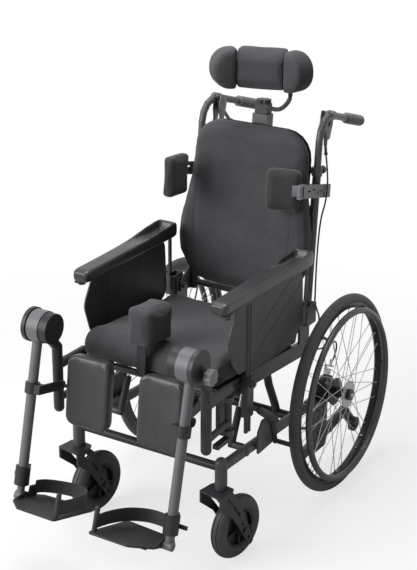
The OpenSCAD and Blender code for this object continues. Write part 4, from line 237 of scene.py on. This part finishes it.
# in the back's frame from the brake lever down the cane, then about the rear axle, in millimetres
down_the_cane = ((187, 102, 520), (192, 100, 490), (206, 96, 430), (218, 84, 380), (218, 80, 330),
                 (214, 68, 280),
                 (213, 62, 220), (213, 62, 140), (213, 66, 70), (211, 74, 16))
past_the_hinge = ((211, -6.9, 581.5), (212, 6, 556), (216, 14, 528), (218, 6, 498), (214, -18, 474),
                  (209, -44, 464), (207, -58, 463))
to_the_drum = ((207, -58, 459), (208, -48, 452), (214, -20, 436), (224, 22, 424), (236, 58, 430),
               (248, 68, 434), (257, 58, 420),
               (258.5, 42, 398), (257.7, 30.5, 386))
for side, mirror in (("left", Matrix()), ("right", OTHER_SIDE)):
    runs = (("cane", BACK, down_the_cane, None),
            ("hinge", Matrix.Translation((0, AXLE_Y, 0)), past_the_hinge, ("back", "seat")),
            ("drum", Matrix.Translation((0, AXLE_Y, 0)), to_the_drum, ("seat", "base")))
    for run, place, points, bodies in runs:
        line = [mirror @ place @ p for p in smooth_line([Vector(p) / 1000 for p in points], 6)]
        cable = piece(f"brake_cable_{run}_{side}", sheath(line, CABLE_D), pvc, None if bodies else "back", 60)
        if bodies:
            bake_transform(cable)
        else:
            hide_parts("brake_cables")

# Frame parts keep their CAD shapes. Dark grey powder coat on the welded steel tubes, black powder coat
# on the lower tubes and forks, mid grey on the leg rests, zinc plate on rods and axles, black nylon.
grey_coat, tree, shader, where = finish("dark_grey_powder_coat", "#3e3f42", 0.42)
grain(tree, shader, where, "#434447", "#393a3d", 1.6, 0.05)
shader.inputs["Coat Weight"].default_value = 0.15
shader.inputs["Coat Roughness"].default_value = 0.35
black_coat, tree, shader, where = finish("black_powder_coat", "#242527", 0.45)
grain(tree, shader, where, "#28292b", "#1f2022", 1.6, 0.05)
mid_coat, tree, shader, where = finish("mid_grey_powder_coat", "#5b5c5f", 0.45)
grain(tree, shader, where, "#606164", "#565759", 1.6, 0.05)
pale_coat, tree, shader, where = finish("silver_grey_powder_coat", "#646569", 0.4, 0.3)
grain(tree, shader, where, "#6c6d71", "#5c5d61", 1.4, 0.04)
zinc, tree, shader, where = finish("zinc_plated_steel", "#b9bbbf", 0.3, 1.0)
grain(tree, shader, where, "#c4c6c9", "#a3a5a9", 0.8, 0.02, 12)
nylon, tree, shader, where = finish("black_glass_filled_nylon", "#232325", 0.55)
grain(tree, shader, where, "#28282a", "#1e1e20", 0.9, 0.06)
panel_plastic, tree, shader, where = finish("dark_grey_abs", "#333436", 0.5)
grain(tree, shader, where, "#383a3c", "#2d2e30", 0.9, 0.07)
cast_grey, tree, shader, where = finish("grey_cast_aluminium", "#66676a", 0.36, 0.3)
grain(tree, shader, where, "#6c6d70", "#5d5e61", 1.0, 0.06)

coats = {grey_coat: ("side_frames", "axle_plates", "seat_frame", "back_frame", "push_handle_left",
                     "push_handle_right"),
         black_coat: ("frame_tubes", "seat_pan", "tilt_cylinders", "recline_cylinder", "caster_fork_left",
                      "caster_fork_right",
                      # hanger_right keeps its star knob in this black coat, the shade on the far side painted
                      # into it as black.
                      "anti_tip_left", "anti_tip_right", "headrest_post", "hanger_right"),
         mid_coat: ("leg_tube_left", "leg_tube_right", "foot_post_left", "foot_post_right"),
         pale_coat: ("lateral_arm_left", "lateral_arm_right"),
         zinc: ("wheel_axles", "tilt_rods", "recline_rod"),
         cast_grey: ("brake_lever_left", "brake_lever_right"),
         nylon: ("footplate_left", "footplate_right", "parking_lever_left",
                 "parking_lever_right", "back_shell", "anti_tip_wheel_left", "anti_tip_wheel_right"),
         panel_plastic: ("arm_panel_left", "arm_panel_right")}
for coat, names in coats.items():
    for name in names:
        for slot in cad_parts[name].material_slots:
            slot.material = coat

# Two-finish parts: one shape that carries two finishes, told apart by place. The wheel rims are black
# anodised with bright spokes and a grey hub disc, the casters are rubber on black nylon centres, and the
# leg tubes are grey with black caps, clamps and collars.


def zoned(name, mask, inside, outside):
    """One material with two finishes (hex, roughness, metallic), where mask(tree, where) is 1 inside."""
    made, tree, shader, where = finish(name, outside[0], outside[1])
    zone = mask(tree, where)
    fine, mixed, raised = grain(tree, shader, where, outside[0], outside[0], 1.4, 0.05)
    tones = add(tree, "ShaderNodeMix", {0: zone, 6: mixed.outputs[2], 7: linear(inside[0])}, data_type="RGBA")
    tree.links.new(tones.outputs[2], shader.inputs["Base Color"])
    for socket, k in (("Roughness", 1), ("Metallic", 2)):
        value = add(tree, "ShaderNodeMix", {0: zone, 2: float(outside[k]), 3: float(inside[k])},
                    data_type="FLOAT")
        tree.links.new(value.outputs[0], shader.inputs[socket])
    return made


def between(tree, value, low, high):
    """1 where the value lies from low to high."""
    above = add(tree, "ShaderNodeMath", {0: value, 1: low}, operation="GREATER_THAN")
    below = add(tree, "ShaderNodeMath", {0: value, 1: high}, operation="LESS_THAN")
    return add(tree, "ShaderNodeMath", {0: above.outputs[0], 1: below.outputs[0]},
               operation="MULTIPLY").outputs[0]


def either(tree, *zones):
    """1 where any of the zones is 1."""
    found = zones[0]
    for zone in zones[1:]:
        found = add(tree, "ShaderNodeMath", {0: found, 1: zone}, operation="MAXIMUM").outputs[0]
    return found


def about(tree, where, place, turn):
    """Coordinates about a place, turned back by the Euler angles."""
    mapped = add(tree, "ShaderNodeMapping", {"Vector": where, "Location": place, "Rotation": turn},
                 vector_type="TEXTURE")
    return mapped.outputs[0]


def radius_and_height(tree, local):
    """Distance from the local Z axis, and height along it."""
    parts = add(tree, "ShaderNodeSeparateXYZ", {0: local})
    flat = add(tree, "ShaderNodeCombineXYZ", {"X": parts.outputs["X"], "Y": parts.outputs["Y"]})
    radius = add(tree, "ShaderNodeVectorMath", {0: flat.outputs[0]}, operation="LENGTH")
    return radius.outputs["Value"], parts.outputs["Z"]


def wheel_place(side):
    """Place and turn of a rear wheel, its axle along local Z outwards."""
    return (side * 0.302, AXLE_Y, 0.304824), (0, math.radians(side * 88), 0)


for side, tag in ((1, "left"), (-1, "right")):
    place, turn = wheel_place(side)

    def spokes_and_disc(tree, where):
        radius, height = radius_and_height(tree, about(tree, where, place, turn))
        spokes = between(tree, radius, 0.0425, 0.2608)
        drum = between(tree, height, -0.062, -0.041)
        disc = add(tree, "ShaderNodeMath",
                   {0: between(tree, height, 0.0262, 0.031),
                    1: between(tree, radius, 0.017, 0.05)}, operation="MULTIPLY")
        open_air = add(tree, "ShaderNodeMath", {0: spokes, 1: drum}, operation="SUBTRACT", use_clamp=True)
        return either(tree, open_air.outputs[0], disc.outputs[0])

    rim_finish = zoned(f"black_anodised_rim_and_steel_spokes_{tag}", spokes_and_disc, ("#a9abaf", 0.35, 0.8),
                       ("#1f2022", 0.36, 0.0))
    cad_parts[f"wheel_rim_{tag}"].material_slots[0].material = rim_finish
    stem = (side * 0.24, AXLE_Y - 0.592)
    yaw = math.radians(-9)
    hub = (stem[0] - math.sin(yaw) * 0.064, stem[1] + math.cos(yaw) * 0.064, 0.095)

    def caster_centre(tree, where):
        turned = about(tree, where, hub, (0, 0, yaw))
        level = about(tree, turned, (0, 0, 0), (0, math.radians(90), 0))
        radius, height = radius_and_height(tree, level)
        return between(tree, radius, -1.0, 0.0592)

    caster_finish = zoned(f"caster_rubber_and_nylon_{tag}", caster_centre, ("#1d1d1f", 0.5, 0.0),
                          ("#3f4042", 0.6, 0.0))
    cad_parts[f"caster_wheel_{tag}"].material_slots[0].material = caster_finish

    def caps_and_clamps(tree, where):
        along = add(tree, "ShaderNodeSeparateXYZ",
                    {0: about(tree, where, LEG.to_translation(), LEG.to_euler())})
        return either(tree, between(tree, along.outputs["X"], -0.2190, 0.2190),
                      between(tree, along.outputs["Z"], -0.1895, -0.1585),
                      between(tree, along.outputs["Z"], -1.0, -0.3985))

    def star_knob(tree, where):
        along = add(tree, "ShaderNodeSeparateXYZ",
                    {0: about(tree, where, LEG.to_translation(), LEG.to_euler())})
        return between(tree, along.outputs["X"], 0.2835, 0.4)

    leg_finish = zoned(f"mid_grey_coat_and_black_nylon_{tag}", caps_and_clamps, ("#1f1f21", 0.48, 0.0),
                       ("#5d5e61", 0.42, 0.0))
    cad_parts[f"leg_tube_{tag}"].material_slots[0].material = leg_finish
    # The star knobs are drawn in two tones, grey on the near hanger and black on the far one: the near knob's
    # lit look and the far knob's shade are painted into one part.
    if side > 0:
        hanger_finish = zoned("black_powder_coat_and_painted_lit_grey_knob", star_knob, ("#77787b", 0.34, 0.0),
                              ("#2a2b2d", 0.42, 0.0))
        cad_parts["hanger_left"].material_slots[0].material = hanger_finish


def rounded_outline(corners, radii, steps=8):
    """A closed outline with each corner rounded by its radius."""
    line = []
    for i, corner in enumerate(corners):
        b = Vector(corner)
        u = (Vector(corners[i - 1]) - b).normalized()
        v = (Vector(corners[(i + 1) % len(corners)]) - b).normalized()
        half = u.angle(v) / 2
        middle = b + (u + v).normalized() * radii[i] / math.sin(half)
        start, end = b + u * radii[i] / math.tan(half), b + v * radii[i] / math.tan(half)
        for k in range(steps + 1):
            way = ((start - middle).slerp(end - middle, k / steps) * radii[i]
                   if radii[i] else Vector((0, 0)))
            line.append(middle + way)
    return line


def slab(outline, low, high, edge, segments=4):
    """A block of that outline in X and Y from low to high in Z, with its rims rounded by edge."""
    mesh = bmesh.new()
    verts = [mesh.verts.new((p[0], p[1], low)) for p in outline]
    bmesh.ops.remove_doubles(mesh, verts=verts, dist=1e-6)
    base = mesh.faces.new(mesh.verts[:])
    raised_part = bmesh.ops.extrude_face_region(mesh, geom=[base])["geom"]
    bmesh.ops.translate(mesh, vec=(0, 0, high - low),
                        verts=[v for v in raised_part if isinstance(v, bmesh.types.BMVert)])
    bmesh.ops.recalc_face_normals(mesh, faces=mesh.faces)
    if edge:
        rims = [e for e in mesh.edges if abs(e.verts[0].co.z - e.verts[1].co.z) < 1e-9]
        bmesh.ops.bevel(mesh, geom=rims, affect="EDGES", offset=edge, segments=segments, profile=0.5,
                        material=-1)
    return mesh


# Brake lever housings: two cast cheeks on the push handle, one on each side of the lever, that hang from
# the clamp and hold its pin; grey cast aluminium with rounded rims.
for side, tag in ((1, "left"), (-1, "right")):
    cheeks = bmesh.new()
    for low in (0.1690, 0.1905):
        cheek = slab(rounded_outline([(0.105, 0.588), (0.142, 0.579), (0.140, 0.545), (0.128, 0.503),
                                      (0.108, 0.500), (0.099, 0.545)],
                                     [0.006, 0.006, 0.012, 0.008, 0.008, 0.02]), low, low + 0.003, 0.0008)
        data = bpy.data.meshes.new("cheek")
        cheek.to_mesh(data)
        cheek.free()
        cheeks.from_mesh(data)
    turned = Matrix(((0, 0, side, 0), (1, 0, 0, 0), (0, 1, 0, 0), (0, 0, 0, 1)))
    housing = piece(f"brake_housing_{tag}", cheeks, cast_grey, f"handle_{tag}", 30, BACK @ turned)

# Push rims: aluminium hoops and stand-offs in dark grey anodising, smooth and a little glossy.
anodised, tree, shader, where = finish("dark_anodised_aluminium", "#47484b", 0.34, 0.35)
grain(tree, shader, where, "#4c4d50", "#424346", 0.8, 0.02)
for name in ("pushrim_left", "pushrim_right"):
    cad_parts[name].material_slots[0].material = anodised

# Rear tyres: solid polyurethane on 24 inch rims, dark grey, with six fine grooves round the tread, three
# on each side of the middle.
tread, tree, shader, where = finish("grey_polyurethane_tyre", "#424345", 0.55)
grain(tree, shader, where, "#474849", "#3c3d3f", 1.0, 0.08, 50)
tread_r = 0.016
groove_depth = 0.0009
groove_angles = (12, 34, 58)
for side, tag in ((1, "left"), (-1, "right")):
    place, turn = wheel_place(side)
    mesh = bmesh.new()
    skin = []
    for step in range(61):
        a = math.radians(-118 + 236 * step / 60)
        deep = groove_depth if min(abs(abs(math.degrees(a)) - g) for g in groove_angles) < 3 else 0.0
        r = tread_r - deep
        skin.append(mesh.verts.new((0.289 + r * math.cos(a), 0, r * math.sin(a))))
    skin += [mesh.verts.new((0.2813, 0, 0.0123)), mesh.verts.new((0.2813, 0, -0.0123))]
    rim_edges = [mesh.edges.new((a, b)) for a, b in zip(skin, skin[1:] + skin[:1])]
    bmesh.ops.spin(mesh, geom=skin + rim_edges, cent=(0, 0, 0), axis=(0, 0, 1), angle=2 * math.pi, steps=180,
                   use_merge=True)
    tyre = piece(f"tyre_tread_{tag}", mesh, tread, f"wheel_{tag}", 30,
                 Matrix.Translation(place) @ Matrix.Rotation(turn[1], 4, "Y"))
    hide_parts(f"tyre_{tag}")

# Cover cloth: a dark grey two-way stretch polyester knit over foam. It has a fine rib that shows as an
# even grain, drawn here at 2 mm because the real 0.6 mm is too fine to show, and a faint sheen.
knit, tree, shader, where = finish("stretch_polyester_knit", "#4b4b4e", 0.86)
shader.inputs["Sheen Weight"].default_value = 0.12
shader.inputs["Sheen Roughness"].default_value = 0.5
shader.inputs["Specular IOR Level"].default_value = 0.06
yarn = add(tree, "ShaderNodeTexVoronoi", {"Vector": where, "Scale": 500.0}, feature="F1")
slow = add(tree, "ShaderNodeTexNoise", {"Vector": where, "Scale": 14.0, "Detail": 4.0, "Roughness": 0.6})
tone = add(tree, "ShaderNodeMapRange", {"Value": slow.outputs["Fac"], "From Min": 0.35, "From Max": 0.65})
cloth_tone = add(tree, "ShaderNodeMix", {0: tone.outputs[0], 6: linear("#464649"), 7: linear("#505053")},
                 data_type="RGBA")
yarn_tone = add(tree, "ShaderNodeMix", {0: yarn.outputs["Distance"], 6: cloth_tone.outputs[2],
                                        7: linear("#3a3a3d")}, data_type="RGBA")
tree.links.new(yarn_tone.outputs[2], shader.inputs["Base Color"])
raised = add(tree, "ShaderNodeBump", {"Height": yarn.outputs["Distance"], "Distance": 0.0003,
                                      "Strength": 0.8})
tree.links.new(raised.outputs["Normal"], shader.inputs["Normal"])


def cad_copy(node):
    """A merged copy of a CAD node's mesh, closed and ready to remesh."""
    mesh = bmesh.new()
    mesh.from_mesh(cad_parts[node].data)
    bmesh.ops.remove_doubles(mesh, verts=mesh.verts, dist=1e-5)
    return mesh


def remeshed(mesh, voxel):
    """The closed mesh remade of even faces of that size."""
    data = bpy.data.meshes.new("remesh")
    mesh.to_mesh(data)
    mesh.free()
    holder = bpy.data.objects.new("remesh", data)
    scene.collection.objects.link(holder)
    maker = holder.modifiers.new("voxels", "REMESH")
    maker.mode = "VOXEL"
    maker.voxel_size = voxel
    made = bpy.data.meshes.new_from_object(holder.evaluated_get(bpy.context.evaluated_depsgraph_get()))
    bpy.data.objects.remove(holder)
    return made


def stuffed(mesh, voxel, pressure, cap, smooth=2):
    """The shape remeshed and blown up as cloth over foam, no point moving more than cap. Returns a bmesh."""
    data = remeshed(mesh, voxel)
    holder = bpy.data.objects.new("cloth", data)
    scene.collection.objects.link(holder)
    rest = [v.co.copy() for v in data.vertices]
    cloth = holder.modifiers.new("cloth", "CLOTH")
    cloth.settings.use_pressure = True
    cloth.settings.uniform_pressure_force = pressure
    cloth.settings.quality = 4
    cloth.settings.effector_weights.gravity = 0
    for step in range(1, 21):
        scene.frame_set(step)
    blown = holder.evaluated_get(bpy.context.evaluated_depsgraph_get()).to_mesh()
    moved = [v.co.copy() for v in blown.vertices]
    holder.modifiers.clear()
    scene.frame_set(1)
    for v, start, end in zip(data.vertices, rest, moved):
        way = end - start
        v.co = start + way * min(1, cap / max(way.length, 1e-9))
    bpy.data.objects.remove(holder)
    made = bmesh.new()
    made.from_mesh(data)
    for _ in range(smooth):
        bmesh.ops.smooth_vert(made, verts=made.verts, factor=0.5, use_axis_x=True, use_axis_y=True,
                              use_axis_z=True)
    return made


def press(mesh, depth, width, distance):
    """Presses a seam of that depth and width into the cloth; distance(co) is measured from its line."""
    mesh.normal_update()
    for v in mesh.verts:
        near = distance(v.co)
        if near < width * 3:
            v.co -= v.normal * depth * math.exp(-(near / width) ** 2)


def subdivided(made):
    """One smooth subdivision of the finished cloth."""
    finer = made.modifiers.new("smooth", "SUBSURF")
    finer.levels = finer.render_levels = 1
    return made


# Seat cushion: a contoured foam block in a knit cover with a rolled front edge, made from the CAD block and
# drawn 24 to 29 mm wider than it. It lies flat on the seat pan and its sides pull in between the corners.
mesh = cad_copy("seat_cushion")
bmesh.ops.transform(mesh, matrix=SEAT.inverted(), verts=mesh.verts)
mesh.normal_update()
for v in mesh.verts:
    v.co -= v.normal * 0.004
mesh = stuffed(mesh, 0.006, 4, 0.009)
for v in mesh.verts:
    share = min(1, max(0, (v.co.y + 0.597) / 0.476))
    v.co.x *= 1.066 - 0.012 * math.sin(math.pi * share)
    v.co.y -= 0.010 * (1 - share)
    v.co.z = max(v.co.z, 0.0034)
press(mesh, 0.0022, 0.0035, lambda co: abs(co.z - 0.021) + max(0, 0.15 - abs(co.x)) if co.z < 0.04 else 1)
cushion = subdivided(piece("seat_cushion_cover", mesh, knit, "seat", 0, SEAT))
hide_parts("seat_cushion")

# Back cushion: contoured foam with side wings low down, in a knit cover with a seam at each side of the
# middle panel. It lies on the shell.
mesh = cad_copy("back_cushion")
bmesh.ops.transform(mesh, matrix=BACK.inverted(), verts=mesh.verts)
mesh.normal_update()
for v in mesh.verts:
    v.co -= v.normal * 0.004
mesh = stuffed(mesh, 0.006, 4, 0.009)
for v in mesh.verts:
    v.co.y = min(v.co.y, 0.030)


def beside_panel(co):
    """Distance in front from the seams beside the middle panel, which run in towards the seat."""
    across = 0.148 + 0.014 * math.sin(math.pi * min(1, max(0, co.z / 0.5)))
    return abs(abs(co.x) - across) if co.y < 0.012 and 0.02 < co.z < 0.36 else 1


press(mesh, 0.0025, 0.0035, beside_panel)
back = subdivided(piece("back_cushion_cover", mesh, knit, "back", 0, BACK))
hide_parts("back_cushion")

# Pommel: a foam block 80 by 123 by 104 mm in a knit cover on a flat black steel bracket, which
# runs down in front of the cushion and back under the pan into its guide.
pommel_z0 = 0.091
outline = rounded_outline([(-0.047, -0.640), (0.033, -0.640), (0.033, -0.517), (-0.047, -0.517)], [0.018] * 4)
mesh = stuffed(slab(outline, pommel_z0, pommel_z0 + 0.104, 0.012), 0.004, 4, 0.003)
pommel = subdivided(piece("pommel_cover", mesh, knit, "pommel", 0, SEAT))
mesh = bmesh.new()
bar_route = [(-0.617, pommel_z0 + 0.02), (-0.617, 0.01), (-0.617, -0.001), (-0.614, -0.004),
             (-0.606, -0.004), (-0.436, -0.004)]
strip = [mesh.verts.new((-0.021, p[0], p[1])) for p in bar_route]
edges = [mesh.edges.new(pair) for pair in zip(strip, strip[1:])]
wide = bmesh.ops.extrude_edge_only(mesh, edges=edges)["geom"]
bmesh.ops.translate(mesh, vec=(0.028, 0, 0), verts=[v for v in wide if isinstance(v, bmesh.types.BMVert)])
bmesh.ops.recalc_face_normals(mesh, faces=mesh.faces)
bmesh.ops.solidify(mesh, geom=mesh.faces, thickness=0.005)
bracket = piece("pommel_bracket", mesh, black_coat, "pommel", 30, SEAT)
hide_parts("pommel")

# Headrest: three foam pads in knit covers on a black plate. The middle one is a bolster that curves back
# at top and bottom, and the side wings are turned forward with round outer ends. The head is set a little
# to the sitter's left on its ball, turned to that side.
head_z = 1.272
HEAD = (Matrix.Translation((0.019, AXLE_Y, 0)) @ Matrix.Rotation(math.radians(16), 4, "Z")
        @ Matrix.Translation((0, -AXLE_Y, 0)))
mesh = slab(rounded_outline([(-0.059, -0.0355), (0.059, -0.0355), (0.059, 0.0355), (-0.059, 0.0355)],
                            [0.034, 0.034, 0.012, 0.012]),
            -0.070, 0.070, 0.006)
bolster_place = (HEAD @ Matrix.Translation((0, AXLE_Y - 0.0255, head_z))
                 @ Matrix.Rotation(math.radians(90), 4, "Y") @ OTHER_SIDE)
mesh = stuffed(mesh, 0.004, 4, 0.002)
pads = [piece("headrest_bolster", mesh, knit, "headrest_cushion", 0, bolster_place)]
for side, tag in ((1, "left"), (-1, "right")):
    mesh = slab(rounded_outline([(0, -0.0585), (0.0775, -0.0585), (0.0775, 0.0585), (0, 0.0585)],
                                [0.012, 0.054, 0.054, 0.012]),
                -0.0365, 0.0365, 0.016)
    place = (Matrix.Translation((0.0735, AXLE_Y - 0.0285, head_z))
             @ Matrix.Rotation(math.radians(-30), 4, "Z") @ Matrix.Rotation(math.radians(90), 4, "X"))
    mesh = stuffed(mesh, 0.004, 4, 0.002)
    bmesh.ops.transform(mesh, matrix=place, verts=mesh.verts)
    for v in mesh.verts:
        v.co.x = max(v.co.x, 0.0724)
    pads.append(piece(f"headrest_wing_{tag}", mesh, knit, "headrest_cushion", 0,
                      HEAD if side > 0 else HEAD @ OTHER_SIDE))
mesh = slab(rounded_outline([(-0.058, -0.036), (0.058, -0.036), (0.058, 0.036), (-0.058, 0.036)],
                            [0.012] * 4), 0, 0.007, 0.0015)
piece("headrest_plate", mesh, black_coat, "headrest_cushion", 30,
      (HEAD @ Matrix.Translation((0, AXLE_Y + 0.017, head_z - 0.014))
       @ Matrix.Rotation(math.radians(90), 4, "X")))
for x in (-0.032, 0.032):
    lug = slab(rounded_outline([(0.012, -0.009), (0.062, -0.009), (0.071, 0), (0.062, 0.009),
                                (0.012, 0.009)], [0.001, 0.004, 0.006, 0.004, 0.001]),
               -0.004, 0.004, 0.001)
    piece(f"headrest_lug_{'left' if x > 0 else 'right'}", lug, black_coat, "headrest_cushion", 30,
          Matrix(((0, 0, 1, x), (1, 0, 0, AXLE_Y), (0, 1, 0, 1.262), (0, 0, 0, 1))))
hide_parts("headrest_cushion")
for pad in pads:
    subdivided(pad)

# Moulded pads: arm and calf pads of self-skinned polyurethane foam, black with a fine leather grain and a
# satin gloss. The lateral pads are covered in black stretch cloth.
skin_foam, tree, shader, where = finish("self_skinned_polyurethane_foam", "#2c2c2e", 0.36)
grain(tree, shader, where, "#313133", "#272729", 1.5, 0.10)
shader.inputs["Coat Weight"].default_value = 0.2
shader.inputs["Coat Roughness"].default_value = 0.3
dark_cloth, tree, shader, where = finish("black_stretch_cloth", "#29292b", 0.8)
grain(tree, shader, where, "#2e2e30", "#242426", 1.8, 0.2)
shader.inputs["Sheen Weight"].default_value = 0.2


def moulded(node, voxel, smooth):
    """The CAD pad's own form with its corners worn round, as foam comes from its mould."""
    data = remeshed(cad_copy(node), voxel)
    made = bmesh.new()
    made.from_mesh(data)
    for _ in range(smooth):
        bmesh.ops.smooth_vert(made, verts=made.verts, factor=0.5, use_axis_x=True, use_axis_y=True,
                              use_axis_z=True)
    return made


for tag in ("left", "right"):
    arm = piece(f"armrest_foam_{tag}", moulded(f"armrest_pad_{tag}", 0.0035, 4), skin_foam, f"arm_{tag}", 0)
    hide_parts(f"armrest_pad_{tag}")
    calf = piece(f"calf_foam_{tag}", moulded(f"calf_pad_{tag}", 0.0035, 5), skin_foam, f"calf_pad_{tag}", 0)
    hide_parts(f"calf_pad_{tag}")

# Lateral supports: the same foam pads at the sides of the chest, each on a steel hinge at the front of its
# arm. The left one rests swung in, so its face looks forward.
for side, tag, swing in ((Matrix(), "left", -70), (OTHER_SIDE, "right", 0)):
    pin = (side @ BACK @ Matrix.Translation((0.2068, -0.066, 0.381))
           @ Matrix.Rotation(math.radians(swing), 4, "Z"))
    outline = rounded_outline([(-0.0468, -0.1006), (-0.0128, -0.1006), (-0.0128, -0.0036),
                               (-0.0468, -0.0036)], [0.011] * 4)
    mesh = stuffed(slab(outline, -0.0645, 0.0555, 0.011), 0.004, 4, 0.002)
    pad = subdivided(piece(f"lateral_cushion_{tag}", mesh, dark_cloth, f"lateral_pad_{tag}", 0, pin))
    mesh = bmesh.new()
    bmesh.ops.create_cone(mesh, cap_ends=True, segments=32, radius1=0.0081, radius2=0.0081, depth=0.031)
    leaf = slab([(-0.0213, -0.0234), (-0.001, -0.0234), (-0.001, -0.0045), (-0.0213, -0.0045)], -0.0155,
                0.0155, 0.001, 2)
    leaf_data = bpy.data.meshes.new("leaf")
    leaf.to_mesh(leaf_data)
    mesh.from_mesh(leaf_data)
    barrel = piece(f"lateral_hinge_{tag}", mesh, pale_coat, f"lateral_pad_{tag}", 30, pin)
    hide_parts(f"lateral_pad_{tag}")

# Heel straps: 38 mm bands of black woven polypropylene, 2.6 mm thick, from the post at the inner front of
# each footplate round behind the heel to the outer wall.
webbing, tree, shader, where = finish("woven_polypropylene_webbing", "#2f2f31", 0.7)
weave = add(tree, "ShaderNodeTexWave", {"Vector": where, "Scale": 190.0, "Distortion": 0.6},
            bands_direction="Z")
woven = add(tree, "ShaderNodeMix", {0: weave.outputs["Fac"], 6: linear("#28282a"), 7: linear("#363638")},
            data_type="RGBA")
tree.links.new(woven.outputs[2], shader.inputs["Base Color"])
ribs = add(tree, "ShaderNodeBump", {"Height": weave.outputs["Fac"], "Distance": 0.0004, "Strength": 0.8})
tree.links.new(ribs.outputs["Normal"], shader.inputs["Normal"])
lean = math.radians(13.75)
FOOT = (Matrix.Translation((0, AXLE_Y - 0.748 - 0.484 * math.sin(lean), 0.675 - 0.484 * math.cos(lean)))
        @ Matrix.Rotation(math.radians(-18), 4, "X"))
strap_shares = ((0, 0.1335), (-0.02, 0.5), (0.06, 0.86), (0.3, 1.08), (0.62, 1.08), (0.93, 0.9), (1, 0.7))
for side, tag in ((Matrix(), "left"), (OTHER_SIDE, "right")):
    route = smooth_line([(0.063 + 0.1607 * s, -0.1 + 0.192 * t, 0) for s, t in strap_shares], 8)
    mesh = bmesh.new()
    line = [mesh.verts.new(p + Vector((0, 0, 0.007))) for p in route]
    edges = [mesh.edges.new(pair) for pair in zip(line, line[1:])]
    for k in range(6):
        wide = bmesh.ops.extrude_edge_only(mesh, edges=edges)["geom"]
        bmesh.ops.translate(mesh, vec=(0, 0, 0.038 / 6),
                            verts=[v for v in wide if isinstance(v, bmesh.types.BMVert)])
        edges = [e for e in wide
                 if isinstance(e, bmesh.types.BMEdge) and abs(e.verts[0].co.z - e.verts[1].co.z) < 1e-6]
    bmesh.ops.recalc_face_normals(mesh, faces=mesh.faces)
    strap = piece(f"heel_webbing_{tag}", mesh, webbing, f"foot_{tag}", 0, side @ FOOT)
    thick = strap.modifiers.new("thickness", "SOLIDIFY")
    thick.thickness = 0.0026
    thick.offset = 0
    soft = strap.modifiers.new("soft_edge", "BEVEL")
    soft.width = 0.0008
    soft.segments = 2
    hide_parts(f"heel_strap_{tag}")

# Push grips: ribbed grey thermoplastic rubber sleeves on the handle ends.
grip_rubber, tree, shader, where = finish("grey_thermoplastic_rubber", "#68696c", 0.6)
grain(tree, shader, where, "#6e6f72", "#616265", 1.2, 0.1)
for name in ("push_grip_left", "push_grip_right"):
    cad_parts[name].material_slots[0].material = grip_rubber
